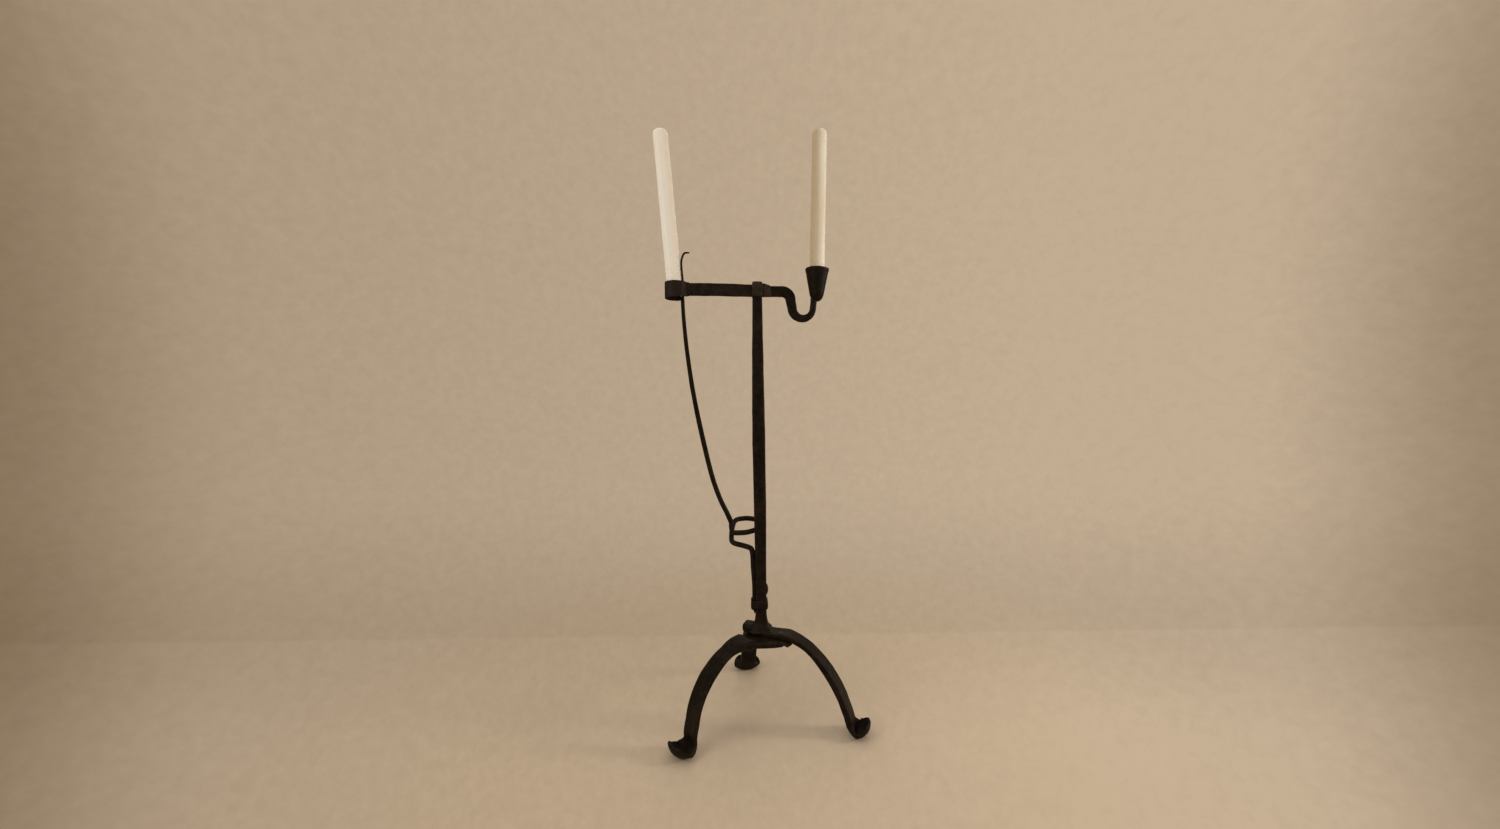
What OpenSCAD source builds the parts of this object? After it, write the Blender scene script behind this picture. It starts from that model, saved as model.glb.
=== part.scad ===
// Wrought iron candlestick: tripod, square stem, one arm with a ring and a spring that grips a candle,
// and one branch with a conical cup. Millimetres. +Z is up, +X is to the right as the piece is looked at,
// +Y is away from the viewer, and the origin is on the floor under the stem's axis.

/* [Stand] */
// Height of the top face of the uppermost leg bar at the hub
hub_top = 136; // [110:1:170]
// Radius at which the right and back heels touch the floor
leg_reach = 146; // [125:1:180]
// Radius at which the left heel touches the floor
leg_reach_left = 140; // [125:1:180]
// Run of the flat part of a leg, from the stem's axis
leg_flat = 40; // [36:0.5:44]
// Thickness of the leg bars
leg_t = 6.5; // [5:0.1:8]
// Thickness of the right and back legs along the arch
arch_t = 9.5; // [6:0.5:12]
// Added depth at the root of the left leg
root_swell = 12; // [0:0.5:14]
// Width of the leg bars at the hub and along the arch
leg_w = 28; // [22:0.5:32]
// Width of the right leg just above the foot
ankle_w = 29.5; // [24:0.5:36]
// Width of the back leg just above the foot
ankle_w_back = 26; // [20:0.5:30]
// Width of the left leg just above the foot
ankle_w_left = 27; // [18:0.5:30]
// Width of the right and left turned-up toes
toe_w = 43; // [34:1:50]
// Width of the back toe
toe_w_back = 48; // [34:1:54]
// How far the right and back toes stand out past their heels
toe_out = 18; // [10:0.5:20]
// How far the left toe stands out past its heel
toe_out_left = 20.5; // [10:0.5:22]
// Height of the toe's rim above the floor
toe_rise = 24; // [15:0.5:26]
// Hollow of the spoon-shaped toe
toe_dish = 13; // [5:0.5:15]
// Direction of the right leg seen from above, from +X towards +Y
right_azimuth = -19; // [-32:1:-12]
// Direction of the back leg
back_azimuth = 99.5; // [90:0.5:110]
// Direction of the left leg
left_azimuth = 219; // [206:1:232]
// Length of the rounded lobe in which the right leg ends, past the stem
lobe_run = 28; // [24:0.5:34]
// Height of the folded lobe over the leg bar
lobe_t = 9.5; // [6:0.5:12]
// Direction of the left leg's tongue under the right leg
tongue_azimuth = -38; // [-42:1:-32]
// Reach of that tongue from the stem's axis
tongue_run = 57; // [50:1:62]
// Depth of the forged wedge at the root of the tongue
tongue_root_t = 12; // [8:0.5:14]
// Thickness of the tongue at its thin end
tongue_tip_t = 2.5; // [2:0.5:5]

/* [Stem] */
// Height of the shoulder on which the arm rests
shoulder_z = 654; // [560:1:740]
// Width of the square stem under the arm
stem_top_w = 15; // [13:0.1:18]
// Width of the stem at its thickest
stem_mid_w = 20; // [18:0.1:24]
// Width of the stem at the spring's tail and collar
stem_low_w = 17; // [15:0.1:18]
// Width of the stem's flared foot
stem_foot_w = 35; // [28:1:38]
// Radius of the tenon that holds the legs
tenon_r = 6.5; // [5:0.1:8]
// Radius of the peened end under the legs
peen_r = 11; // [9:0.5:13]
// Height of the peened end
peen_h = 4; // [3:0.5:6]
// Height of the domed cap over the arm
cap_h = 2.4; // [2:0.1:4]

/* [Arm and ring] */
// Height of the flat arm, which stands on edge
arm_h = 20; // [16:0.5:24]
// How far the arm rises from the stem to the ring
arm_rise = 1.4; // [0:0.1:3]
// Thickness of the arm
arm_t = 6; // [5:0.1:8]
// Turn of the arm seen from above, which brings the ring towards the viewer
arm_turn = 4; // [0:0.5:8]
// Distance of the ring's axis from the stem's axis
ring_x = 125.3; // [115:0.5:135]
// Outer diameter of the ring
ring_d = 34.5; // [33.5:0.1:37]
// Wall of the ring
ring_wall = 2.2; // [1.6:0.1:2.6]
// Height of the ring
ring_h = 25.3; // [20:0.5:30]
// How far the ring reaches below the arm
ring_drop = 3.7; // [2:0.1:6]
// How far the ring's end is lapped on the front of the arm
ring_lap = 3.2; // [1:0.1:8]
// Length of the collar beside the stem that joins the arm and the branch
head_collar_l = 13.5; // [11:0.5:17]
// Wall of that collar
head_collar_wall = 2; // [1.5:0.1:3]

/* [Branch and cup] */
// Height of the branch bar where it leaves the collar
branch_h = 16.4; // [15:0.5:18]
// Diameter across the branch at its bottom bend
branch_bend_d = 11.8; // [10.5:0.1:13]
// Diameter across the branch under the cup
branch_end_d = 9.8; // [9:0.1:12]
// Distance of the branch's downward run from the stem's axis
branch_drop_x = 52.7; // [49:0.1:58]
// Depth of the bottom bend's centreline below the arm's underside
branch_sag = 34; // [28:0.5:40]
// Distance of the cup's axis from the stem's axis
cup_x = 95.2; // [92:0.2:98]
// Height of the cup's rim above the arm's underside
cup_rise = 44; // [38:0.5:50]
// Depth of the cup outside
cup_depth = 51; // [42:0.5:54]
// Outer diameter of the cup at its rim
cup_d = 37.4; // [35:0.2:40]
// Slope of the cup's side, in millimetres of radius for each millimetre of height
cup_slope = 0.183; // [0.16:0.001:0.22]
// Wall of the cup
cup_wall = 1.2; // [0.8:0.1:1.6]
// Thickening of the cup's lip
cup_lip = 0.4; // [0:0.1:0.8]

/* [Spring] */
// Diameter of the coiled wire
wire_d = 8.2; // [7:0.1:9]
// Radius of the coil's centreline
coil_r = 25; // [22:0.5:26]
// Height of the coil's first turn, where the rod bends on it
coil_z = 288; // [270:1:310]
// Drop from one turn of the coil to the next
coil_pitch = 23; // [18:0.5:28]
// Distance of the coil's axis to the left of the stem's axis
coil_x = 21.4; // [20:0.2:24]
// Running gap between the coil and the back of the stem
coil_gap = 0.6; // [0.3:0.1:2]
// Thickness of the rod under the ring
rod_d = 6.6; // [5.5:0.1:7.5]
// Thickness of the flattened rod inside and above the ring
blade_t = 3.2; // [2:0.1:3.6]
// Width of the flattened rod
blade_w = 6; // [4:0.1:7]
// Height of the hooked tip above the ring
hook_rise = 45.5; // [34:0.5:50]
// Reach of the hooked tip
hook_out = 12; // [8:0.5:16]
// Thickness of the flattened tail against the stem
tail_t = 5; // [4.5:0.1:6]
// Width of the flattened tail
tail_w = 9; // [7:0.1:10]
// Height of the rivet through the tail
spring_rivet_z = 198; // [194:0.5:204]
// Radius of that rivet's head
spring_rivet_r = 7.5; // [5:0.1:8]
// Height of that rivet's head
spring_rivet_h = 3; // [2:0.1:4]
// Radius of the rivets' shanks
rivet_r = 2; // [1.5:0.1:2.2]
// Height of the tail collar's lower edge
tail_collar_z = 169; // [164:0.5:172]
// Height of the tail collar
tail_collar_h = 14; // [12:0.5:18]
// Wall of the tail collar
tail_collar_wall = 2; // [1.8:0.1:3]

/* [Candles] */
// Length of a candle
candle_l = 250; // [180:1:300]
// Diameter of a candle above its foot
candle_d = 23.5; // [22:0.1:24]
// Diameter of a candle at its shoulder
candle_top_d = 22.9; // [20:0.1:23.5]
// Diameter of a candle's narrowed foot
candle_foot_d = 22.8; // [21:0.1:23.2]
// Height of the narrowed foot
candle_foot_h = 16; // [10:0.5:20]
// Height of the rounded top
candle_dome_h = 8.2; // [5:0.1:12]
// Diameter of a wick
wick_d = 1.8; // [1.2:0.1:2.4]
// Length of the wick that stands out
wick_out = 3.2; // [2:0.1:8]
// Depth of the left candle's foot in the ring
candle_seat = 12.6; // [8:0.1:14]
// Lean of the left candle to the left
left_lean = 4.6; // [3:0.1:5.5]
// Lean of the right candle to the right
right_lean = 1.8; // [0:0.1:2.4]

/* [Fit] */
// Gap between pieces that move against each other
run_gap = 0.3; // [0.2:0.05:0.5]
// Clearance of a shank or tenon in its hole
hole_gap = 0.08; // [0.04:0.01:0.15]
// Gap between forged pieces that lie on each other
lap_gap = 0.15; // [0:0.05:0.4]

/* [Hidden] */
$fn = 48;
IRON = [0.16, 0.14, 0.13];
WAX = [0.93, 0.88, 0.77];
WICK = [0.25, 0.22, 0.19];
ROUND_SIDES = 12;
STEPS = 4;
FAR = 400;

// Stand
bar_step = leg_t + lap_gap;
tops = [hub_top, hub_top - bar_step, hub_top - 2 * bar_step];
stack_bottom = tops[2] - leg_t;
heel_sink = 0.8;
heel_t = 5.4;
toe_t = 3.4;
// Centreline of a leg from the end of its flat part to the ankle, as shares of the reach past the flat
// part and of the height
ARCH = [[0, 1], [0.18, 0.955], [0.335, 0.885], [0.47, 0.787], [0.6, 0.662], [0.706, 0.53],
        [0.788, 0.405], [0.836, 0.308], [0.88, 0.212]];
ARCH_LEFT = [[0, 1], [0.16, 0.985], [0.37, 0.918], [0.535, 0.82], [0.674, 0.705], [0.782, 0.57],
             [0.845, 0.45], [0.88, 0.325], [0.908, 0.212]];

// Stem
stem_foot_h = 22;
// Height and half width of the stem at each station, from the foot to the shoulder
STEM = [[hub_top, stem_foot_w / 2], [hub_top + 2, stem_foot_w / 2 - 1.6], [hub_top + 5, stem_low_w / 2 + 4.2],
        [hub_top + 11, stem_low_w / 2 + 1.8], [hub_top + stem_foot_h, stem_low_w / 2],
        [hub_top + 0.207 * (shoulder_z - hub_top), stem_low_w / 2],
        [hub_top + 0.309 * (shoulder_z - hub_top), stem_mid_w / 2 - 0.7],
        [hub_top + 0.58 * (shoulder_z - hub_top), stem_mid_w / 2],
        [hub_top + 0.76 * (shoulder_z - hub_top), (stem_mid_w + stem_top_w) / 4 + 0.3],
        [shoulder_z, stem_top_w / 2]];
stem_corner = 0.2;

// Arm, ring and head
arm_top = shoulder_z + arm_h;
ring_r = ring_d / 2;
ring_in = ring_r - ring_wall;
ring_low = shoulder_z - ring_drop;
ring_top = ring_low + ring_h;
ring_at = [-ring_x * cos(arm_turn), -ring_x * sin(arm_turn)];
head_w = stem_top_w + 1.6;
lap_x = head_w / 2 - 1;
lap_end = lap_x + head_collar_l - 0.5;
lap_h = branch_h - 3.4;
lap_low = shoulder_z + 1.9;

// Branch and cup
cup_rim = shoulder_z + cup_rise;
cup_low = cup_rim - cup_depth;
cup_at = [cup_x * cos(arm_turn), cup_x * sin(arm_turn)];
branch_up_x = cup_x - 7.6;
bend_in_x = branch_drop_x + 2.3;
bend_r = (branch_up_x - bend_in_x) / 2;
turn_r = 14;
cup_floor = 13;

// Candles
candle_r = candle_d / 2;
wall_left = ring_at[0] - ring_in;
left_axis = [-sin(left_lean), 0, cos(left_lean)];
left_foot = [wall_left + run_gap + candle_r / cos(left_lean) + candle_seat * tan(left_lean), ring_at[1],
             ring_top - candle_seat];
cup_foot_r = candle_foot_d / 2 + run_gap + 0.25;
cup_foot_z = cup_rim - (cup_d / 2 - cup_wall - cup_foot_r) / cup_slope;
right_foot = [cup_at[0] - (cup_rim - cup_foot_z) * sin(right_lean), cup_at[1],
              cup_rim - (cup_rim - cup_foot_z) * cos(right_lean)];

// Spring
coil_at = [-coil_x, stem_mid_w / 2 + coil_gap + wire_d / 2 + coil_r];
tail_x = -(stem_low_w / 2 + lap_gap + tail_t / 2);
blade_x = left_foot[0] + candle_r / cos(left_lean) - (ring_top - left_foot[2]) * tan(left_lean)
          + run_gap + blade_t / 2;
rod_low = [coil_at[0] - coil_r, coil_at[1], coil_z];
rod_high = [blade_x - 0.8, ring_at[1], ring_low - 3];
rod_span = rod_high - rod_low;
tail_top = coil_z - 1.96 * coil_pitch;

// Points on a smooth curve through the given ones, with points before and after that set the end slopes
function curve(p, before, after) =
    let (q = concat([before], p, [after]))
    concat([for (i = [1 : len(p) - 1], k = [0 : STEPS - 1])
        let (t = k / STEPS, a = q[i - 1], b = q[i], c = q[i + 1], d = q[i + 2])
        0.5 * ((2 * b) + (c - a) * t + (2 * a - 5 * b + 4 * c - d) * t * t
               + (3 * b - a - 3 * c + d) * t * t * t)], [p[len(p) - 1]]);
function unit(v) = v / norm(v);
function tangents(p) = [for (i = [0 : len(p) - 1])
    unit(p[min(i + 1, len(p) - 1)] - p[max(i - 1, 0)])];
// The normal that turns as little as possible along the path
function carry(n, t) = unit(n - t * (n * t));
function normals(t, n0) = [for (i = 0, n = carry(n0, t[0]); i < len(t);
    i = i + 1, n = i < len(t) ? carry(n, t[i]) : n) n];
// Straight blend between the values of a table of [place, value ...] rows
function blend(table, x) = let (i = max([for (k = [0 : len(table) - 2]) if (k == 0 || table[k][0] <= x) k]),
    a = table[i], b = table[i + 1], s = min(1, max(0, (x - a[0]) / (b[0] - a[0])))) a + (b - a) * s;

// A solid through rings that all have the same number of points
module loft(rings) {
    n = len(rings[0]);
    m = len(rings);
    points = [for (r = rings) each r];
    last = (m - 1) * n;
    sides = [for (j = [0 : m - 2], i = [0 : n - 1], half = [0, 1])
        let (a = j * n + i, b = j * n + (i + 1) % n)
        half == 0 ? [a, b + n, b] : [a, a + n, b + n]];
    polyhedron(points, concat([[for (i = [0 : n - 1]) i]], sides, [[for (i = [n - 1 : -1 : 0]) last + i]]),
               convexity = 8);
}

// Outline of a forged flat bar: across its width u, through its thickness v, with eased corners and a hollow
SPREAD = [-1, -0.9, -0.5, 0, 0.5, 0.9, 1];
function eased(s) = abs(s) > 0.95 ? 0.55 : 1;
function flat_outline(w, t, dish) = concat(
    [for (s = SPREAD) [s * w / 2, -eased(s) * t / 2 + dish * s * s]],
    [for (k = [len(SPREAD) - 1 : -1 : 0]) let (s = SPREAD[k]) [s * w / 2, eased(s) * t / 2 + dish * s * s]]);
function round_outline(a, b) = [for (i = [0 : ROUND_SIDES - 1])
    [a / 2 * cos(360 * i / ROUND_SIDES), b / 2 * sin(360 * i / ROUND_SIDES)]];
function ring_at_point(outline, p, u, v) = [for (q = outline) p + q[0] * u + q[1] * v];

// Leg
function arch_points(top, reach) = [for (a = reach == leg_reach_left ? ARCH_LEFT : ARCH)
    [leg_flat + (reach - leg_flat) * a[0], (top - leg_t / 2) * a[1]]];
function foot_points(reach) = let (out = reach == leg_reach_left ? toe_out_left : toe_out)
    [[reach - 9, heel_t / 2 + 12.3], [reach - 5.5, heel_t / 2 + 4.3],
    [reach + 0.5, heel_t / 2 - heel_sink], [reach + 0.55 * out, heel_t / 2 + 1.8],
    [reach + 0.9 * out, toe_rise * 0.5], [reach + out, toe_rise * 0.82]];
function leg_line(top, reach) = let (p = concat(arch_points(top, reach), foot_points(reach)), n = len(p))
    curve(p, [2 * p[0][0] - p[1][0], p[1][1]], 2 * p[n - 1] - p[n - 2]);
// Width, thickness and hollow along the leg, by the share of the line's points
function leg_body(mid_t, ankle, toe) = [[0, leg_w, leg_t, 0], [0.12, leg_w, leg_t, 0],
    [0.3, leg_w, mid_t, 0], [0.5, (leg_w + ankle) / 2, mid_t, 0], [0.63, ankle, mid_t, 0.04 * toe_dish],
    [0.7, (ankle + 2 * toe) / 3, leg_t + 0.4, 0.45 * toe_dish], [0.786, toe, heel_t, 0.92 * toe_dish],
    [0.857, toe, toe_t + 0.8, toe_dish], [0.93, 0.88 * toe, toe_t + 0.2, 0.9 * toe_dish],
    [1, 0.56 * toe, toe_t * 0.8, 0.45 * toe_dish]];
// Added depth at the root of a leg by its run, and the share of it that stands above the bar
function root_body(swell) = [[0, 0, 0], [25, 0, 0], [30, 0.9 * swell, 0.3], [36, swell, 0.45],
    [48, 0.6 * swell, 0.5], [66, 0, 0.5]];
function leg_rings(top, reach, mid_t, ankle, toe, start, swell) = let (
    runs = concat([start], [for (row = root_body(swell)) if (row[0] > start && row[0] < leg_flat - 2) row[0]]),
    first = len(runs), line = concat([for (r = runs) [r, top - leg_t / 2]], leg_line(top, reach)),
    t = tangents(line), n = len(line))
    concat(
        [for (e = [0.55, 0.85]) ring_at_point(flat_outline(leg_w * e, leg_t * (0.75 + 0.25 * e), 0),
            [start - (1 - e) * 9, 0, top - leg_t / 2], [0, 1, 0], [0, 0, 1])],
        [for (i = [0 : n - 1]) let (b = blend(leg_body(mid_t, ankle, toe), max(0, (i - first) / (n - first - 1))),
            root = blend(root_body(swell), max(0, line[i][0])), lift = root[1] * (root[2] - 0.5))
            ring_at_point(flat_outline(b[1], b[2] + root[1], b[3]),
                [line[i][0] - lift * t[i][1], 0, line[i][1] + lift * t[i][0]], [0, 1, 0],
                [-t[i][1], 0, t[i][0]])]);
module leg_bar(top, reach, mid_t, ankle, toe, start, swell) {
    difference() {
        loft(leg_rings(top, reach, mid_t, ankle, toe, start, swell));
        translate([-FAR / 2, -FAR / 2, -FAR]) cube([FAR, FAR, FAR]);
    }
}
module tenon_hole() {
    translate([0, 0, stack_bottom - 1]) cylinder(r = tenon_r + hole_gap, h = hub_top - stack_bottom + 2);
}
rivet_run = 34;
rivet_azimuth = tongue_azimuth + 6;
rivet_at = [rivet_run * cos(rivet_azimuth), rivet_run * sin(rivet_azimuth)];
module leg_rivet_hole() {
    translate([rivet_at[0], rivet_at[1], tops[1] - leg_t - 6])
        cylinder(r = rivet_r + hole_gap, h = 3 * leg_t + 6);
}

module leg_right() {
    color(IRON) difference() {
        union() {
            rotate([0, 0, right_azimuth]) {
                leg_bar(tops[0], leg_reach, arch_t, ankle_w, toe_w, -lobe_run + 7, 0);
                lobe();
            }
        }
        square_bar([for (s = concat([[hub_top - 0.1, stem_foot_w / 2]], STEM))
            if (s[0] < hub_top + stem_foot_h + 1) [s[0], s[1] + lap_gap]]);
        tenon_hole();
        leg_rivet_hole();
    }
}
// The bar's end, folded back on itself and hammered round
module lobe() {
    low = tops[0] - leg_t;
    high = tops[0] + lobe_t;
    near = stem_low_w / 2 + 3.5;
    shape = [[0, 0.5, 0.45], [1.5, 0.76, 0.78], [3.5, 0.95, 0.96], [5.5, 1, 1],
             [lobe_run - near - 1, 0.96, 1], [lobe_run - near, 0.86, 0.9]];
    rings = [for (s = shape)
        ring_at_point(flat_outline(0.88 * leg_w * s[1], (high - low) * s[2], 0),
            [-lobe_run + s[0], 0, (low + high) / 2], [0, 1, 0], [0, 0, 1])];
    loft(rings);
}

module leg_left() {
    color(IRON) difference() {
        union() {
            rotate([0, 0, left_azimuth]) leg_bar(tops[1], leg_reach_left, leg_t + 0.5, ankle_w_left, toe_w, -1, root_swell);
            translate([0, 0, tops[1] - leg_t + 0.15]) cylinder(r = leg_w / 2 - 0.4, h = leg_t - 0.3);
            web();
            difference() {
                rotate([0, 0, tongue_azimuth]) tongue();
                rotate([0, 0, back_azimuth]) translate([-0.41 * leg_w - 5, -leg_w / 2 - 1, tops[1] - leg_t - FAR])
                    cube([FAR, leg_w + 2, FAR - lap_gap / 2]);
            }
        }
        tenon_hole();
        leg_rivet_hole();
    }
}
// Web forged out between the left leg and its tongue, in front of the back leg's end
web_h = 9.8;
web_front = 34;
module web() {
    out = web_front / cos(left_azimuth - 180);
    translate([0, 0, tops[1] - web_h]) linear_extrude(web_h - 0.3) polygon([
        out * [cos(left_azimuth), sin(left_azimuth)] + [-2, 0], [-0.5 * web_front, -web_front],
        [0.5 * web_front, -web_front], [0.85 * web_front, -0.9 * web_front],
        [0.98 * web_front, -0.64 * web_front], [0.96 * web_front, -0.36 * web_front],
        [0.5 * web_front, -0.53 * web_front], [-0.6 * web_front, -0.53 * web_front]]);
}
// Tapered tongue that lies against the underside of the right leg
tongue_gap = lap_gap + 0.07;
function tongue_t(run) = tongue_root_t + (tongue_tip_t - tongue_root_t) * pow(run / tongue_run, 0.9);
module tongue() {
    whole = concat([[0, tops[0] - leg_t / 2]], leg_line(tops[0], leg_reach));
    line = [for (p = whole) if (p[0] < tongue_run) p];
    t = tangents(whole);
    n = len(line);
    rings = [for (i = [0 : n - 1]) let (s = line[i][0] / tongue_run,
        thick = tongue_t(line[i][0]),
        wide = leg_w * (0.86 - 0.42 * s * s), normal = [-t[i][1], t[i][0]],
        c = line[i] - normal * (leg_t / 2 + tongue_gap + thick / 2))
        ring_at_point(flat_outline(wide, thick, 0), [c[0], 0, c[1]], [0, 1, 0], [normal[0], 0, normal[1]])];
    loft(rings);
}

module leg_back() {
    color(IRON) difference() {
        rotate([0, 0, back_azimuth]) leg_bar(tops[2], leg_reach, arch_t, ankle_w_back, toe_w_back, -0.41 * leg_w, 0);
        tenon_hole();
    }
}

module dome(r, h) {
    intersection() {
        translate([0, 0, h - (r * r + h * h) / (2 * h)]) sphere(r = (r * r + h * h) / (2 * h), $fn = 64);
        cylinder(r = r + 1, h = h + 1);
    }
}

module leg_rivet() {
    low = tops[1] - web_h - 0.1;
    color(IRON) translate([rivet_at[0], rivet_at[1], 0]) {
        translate([0, 0, low]) cylinder(r = rivet_r, h = hub_top + 1 - low);
        translate([0, 0, hub_top + 0.02]) dome(4.4, 3);
        translate([0, 0, low]) mirror([0, 0, 1]) dome(3.6, 1.6);
    }
}

// Stem
function square_outline(h) = let (c = h * stem_corner)
    [[h, -h + c], [h, h - c], [h - c, h], [-h + c, h], [-h, h - c], [-h, -h + c], [-h + c, -h], [h - c, -h]];
module square_bar(stations) {
    loft([for (s = stations) ring_at_point(square_outline(s[1]), [0, 0, s[0]], [1, 0, 0], [0, 1, 0])]);
}
module through_spring_rivet() {
    translate([-FAR / 2, 0, spring_rivet_z]) rotate([0, 90, 0]) cylinder(r = rivet_r + hole_gap, h = FAR);
}
module shaft() {
    head = [[shoulder_z, stem_top_w / 2], [shoulder_z + 1, head_w / 2 - 0.2],
            [shoulder_z + 3, head_w / 2], [arm_top + hole_gap + 0.6, head_w / 2],
            [arm_top + cap_h * 0.6, head_w / 2 - 0.7], [arm_top + cap_h, head_w / 2 - 3.6]];
    color(IRON) {
        difference() {
            union() {
                square_bar(STEM);
                rotate([0, 0, arm_turn]) square_bar(head);
                translate([0, 0, stack_bottom]) cylinder(r = tenon_r, h = hub_top - stack_bottom + 1);
                translate([0, 0, stack_bottom - lap_gap]) mirror([0, 0, 1]) dome(peen_r, peen_h);
                translate([0, 0, stack_bottom - lap_gap]) cylinder(r = tenon_r, h = 2 * lap_gap + 1);
            }
            rotate([0, 0, arm_turn]) translate([-head_w, -arm_t / 2 - hole_gap, shoulder_z])
                cube([2 * head_w, arm_t + 2 * hole_gap, arm_h + hole_gap]);
            through_spring_rivet();
        }
    }
}

// Arm with its lap under the head collar
module ring_arm() {
    color(IRON) rotate([0, 0, arm_turn]) difference() {
        union() {
            translate([0, arm_t / 2, 0]) rotate([90, 0, 0]) linear_extrude(arm_t) polygon([
                [-ring_x, shoulder_z + arm_rise], [-head_w, shoulder_z], [lap_x, shoulder_z], [lap_x, arm_top],
                [-head_w, arm_top], [-ring_x, arm_top + arm_rise]]);
            translate([0, -arm_t / 2, lap_low]) cube([lap_end, arm_t / 2 - lap_gap / 2, lap_h]);
        }
        translate([-ring_x, 0, shoulder_z - 1]) cylinder(r = ring_r + lap_gap, h = arm_h + arm_rise + 2);
    }
}
// Strap bent round the candle: open at the back towards the arm, its end lapped on the arm's front
module candle_ring() {
    lap_right = ring_r + ring_lap;
    taper_x = 0.1 * ring_r;
    color(IRON) rotate([0, 0, arm_turn]) translate([-ring_x, 0, 0]) difference() {
        union() {
            translate([0, 0, ring_low]) cylinder(r = ring_r, h = ring_h, $fn = 72);
            translate([0.8 * ring_r, -arm_t / 2 - lap_gap - ring_wall, ring_low])
                cube([lap_right - 0.8 * ring_r, ring_wall, ring_h]);
        }
        translate([0, 0, ring_low - 1]) cylinder(r = ring_in, h = ring_h + 2, $fn = 72);
        translate([0.42 * ring_r, arm_t / 2, ring_low - 1]) cube([ring_r, ring_r, ring_h + 2]);
        translate([0, ring_r + 1, 0]) rotate([90, 0, 0]) linear_extrude(2 * ring_r + 2) {
            polygon([[taper_x, ring_low - 1], [taper_x, ring_low], [lap_right + 1, shoulder_z - 0.8],
                     [lap_right + 1, ring_low - 1]]);
            polygon([[ring_r, ring_top + 1], [ring_r, ring_top], [lap_right + 1, arm_top + 0.4],
                     [lap_right + 1, ring_top + 1]]);
        }
    }
}
module head_collar() {
    inner_h = lap_h + 2 * hole_gap;
    deep = arm_t + 2 * hole_gap;
    low = -head_collar_wall;
    tall = arm_top + 0.3 - lap_low;
    short = inner_h + head_collar_wall;
    shape = [[0, 1, tall - 0.6], [0.8, 0, tall], [5, 0, tall - 0.7], [head_collar_l - 0.8, 0, short],
             [head_collar_l, 1, short - 0.6]];
    color(IRON) rotate([0, 0, arm_turn]) translate([head_w / 2 + lap_gap, 0, lap_low - hole_gap]) difference() {
        loft([for (s = shape) let (high = s[2] - low - s[1] / 2)
            ring_at_point(flat_outline(deep + 2 * head_collar_wall - s[1], high, 0),
                [s[0], 0, s[2] - high / 2], [0, 1, 0], [0, 0, 1])]);
        translate([-1, -deep / 2, 0]) cube([head_collar_l + 2, deep, inner_h]);
    }
}

// Branch: out of the collar, down, round the bottom bend and up beside the cup
function branch_line() = let (
    mid = shoulder_z + branch_h / 2,
    low = shoulder_z - branch_sag,
    out_x = head_w / 2 + head_collar_l + 1,
    over = [branch_drop_x - turn_r, mid - turn_r],
    under = [bend_in_x + bend_r, low + bend_r])
    concat([[out_x, mid]],
        [for (a = [90 : -15 : 0]) over + turn_r * [cos(a), sin(a)]],
        [for (a = [180 : 15 : 360]) under + bend_r * [cos(a), sin(a)]],
        [[branch_up_x + 0.8, 0.5 * (cup_low + low + bend_r)], [branch_up_x + 1.4, cup_low + 1],
         [branch_up_x + 1.4, cup_low + 9]]);
// In-plane and across sizes along the branch
BRANCH = [[0, branch_h, arm_t + 1], [0.12, branch_h, arm_t + 1.6], [0.26, branch_h - 0.6, 8.6],
          [0.42, branch_h - 2.2, 9.4], [0.52, branch_bend_d + 0.7, 10], [0.62, branch_bend_d, 10],
          [0.8, branch_end_d, 10], [1, branch_end_d, 11]];
module cup_branch() {
    line = branch_line();
    t = tangents(line);
    n = len(line);
    color(IRON) difference() {
        rotate([0, 0, arm_turn]) {
            loft([for (i = [0 : n - 1]) let (b = blend(BRANCH, i / (n - 1)))
                ring_at_point(octagon(b[2], b[1]), [line[i][0], 0, line[i][1]], [0, 1, 0],
                    [-t[i][1], 0, t[i][0]])]);
            translate([lap_x + lap_gap, lap_gap / 2, lap_low])
                cube([head_collar_l + head_w / 2 + 2 - lap_x - lap_gap, arm_t / 2 - lap_gap / 2, lap_h]);
            translate([head_w / 2 + lap_gap + head_collar_l + 0.1, -arm_t / 2, lap_low]) cube([2, arm_t, lap_h]);
        }
        translate([cup_at[0], cup_at[1], 0]) cup_body(lap_gap);
    }
}
function octagon(a, b) = let (c = min(a, b) * 0.28)
    [[a / 2, -b / 2 + c], [a / 2, b / 2 - c], [a / 2 - c, b / 2], [-a / 2 + c, b / 2], [-a / 2, b / 2 - c],
     [-a / 2, -b / 2 + c], [-a / 2 + c, -b / 2], [a / 2 - c, -b / 2]];

// Solid body of the cup, grown by a gap
function cup_out(z) = cup_d / 2 - (cup_rim - z) * cup_slope;
module cup_leaning() {
    translate([0, 0, cup_rim]) rotate([0, right_lean, 0]) translate([0, 0, -cup_rim]) children();
}
module cup_body(grow) {
    base = [[-5.5, 0.4], [-2.6, 2.6], [-0.8, 6.4], [0, 11]];
    cup_leaning() rotate_extrude($fn = 72) polygon([[0, cup_low - grow],
        for (b = base) [cup_out(cup_low + b[1]) + b[0] + grow, cup_low + b[1] - (b[1] < 3 ? grow : 0)],
        [cup_out(cup_rim - 6) + grow, cup_rim - 6], [cup_out(cup_rim - 5) + cup_lip + grow, cup_rim - 5],
        [cup_d / 2 + grow, cup_rim + grow], [0, cup_rim + grow]]);
}
module candle_cup() {
    floor_z = cup_low + cup_floor;
    color(IRON) translate([cup_at[0], cup_at[1], 0]) difference() {
        cup_body(0);
        cup_leaning() translate([0, 0, floor_z]) cylinder(r1 = cup_out(floor_z) - cup_wall,
            r2 = cup_out(cup_rim + 1) - cup_wall, h = cup_rim + 1 - floor_z, $fn = 72);
    }
}

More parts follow.
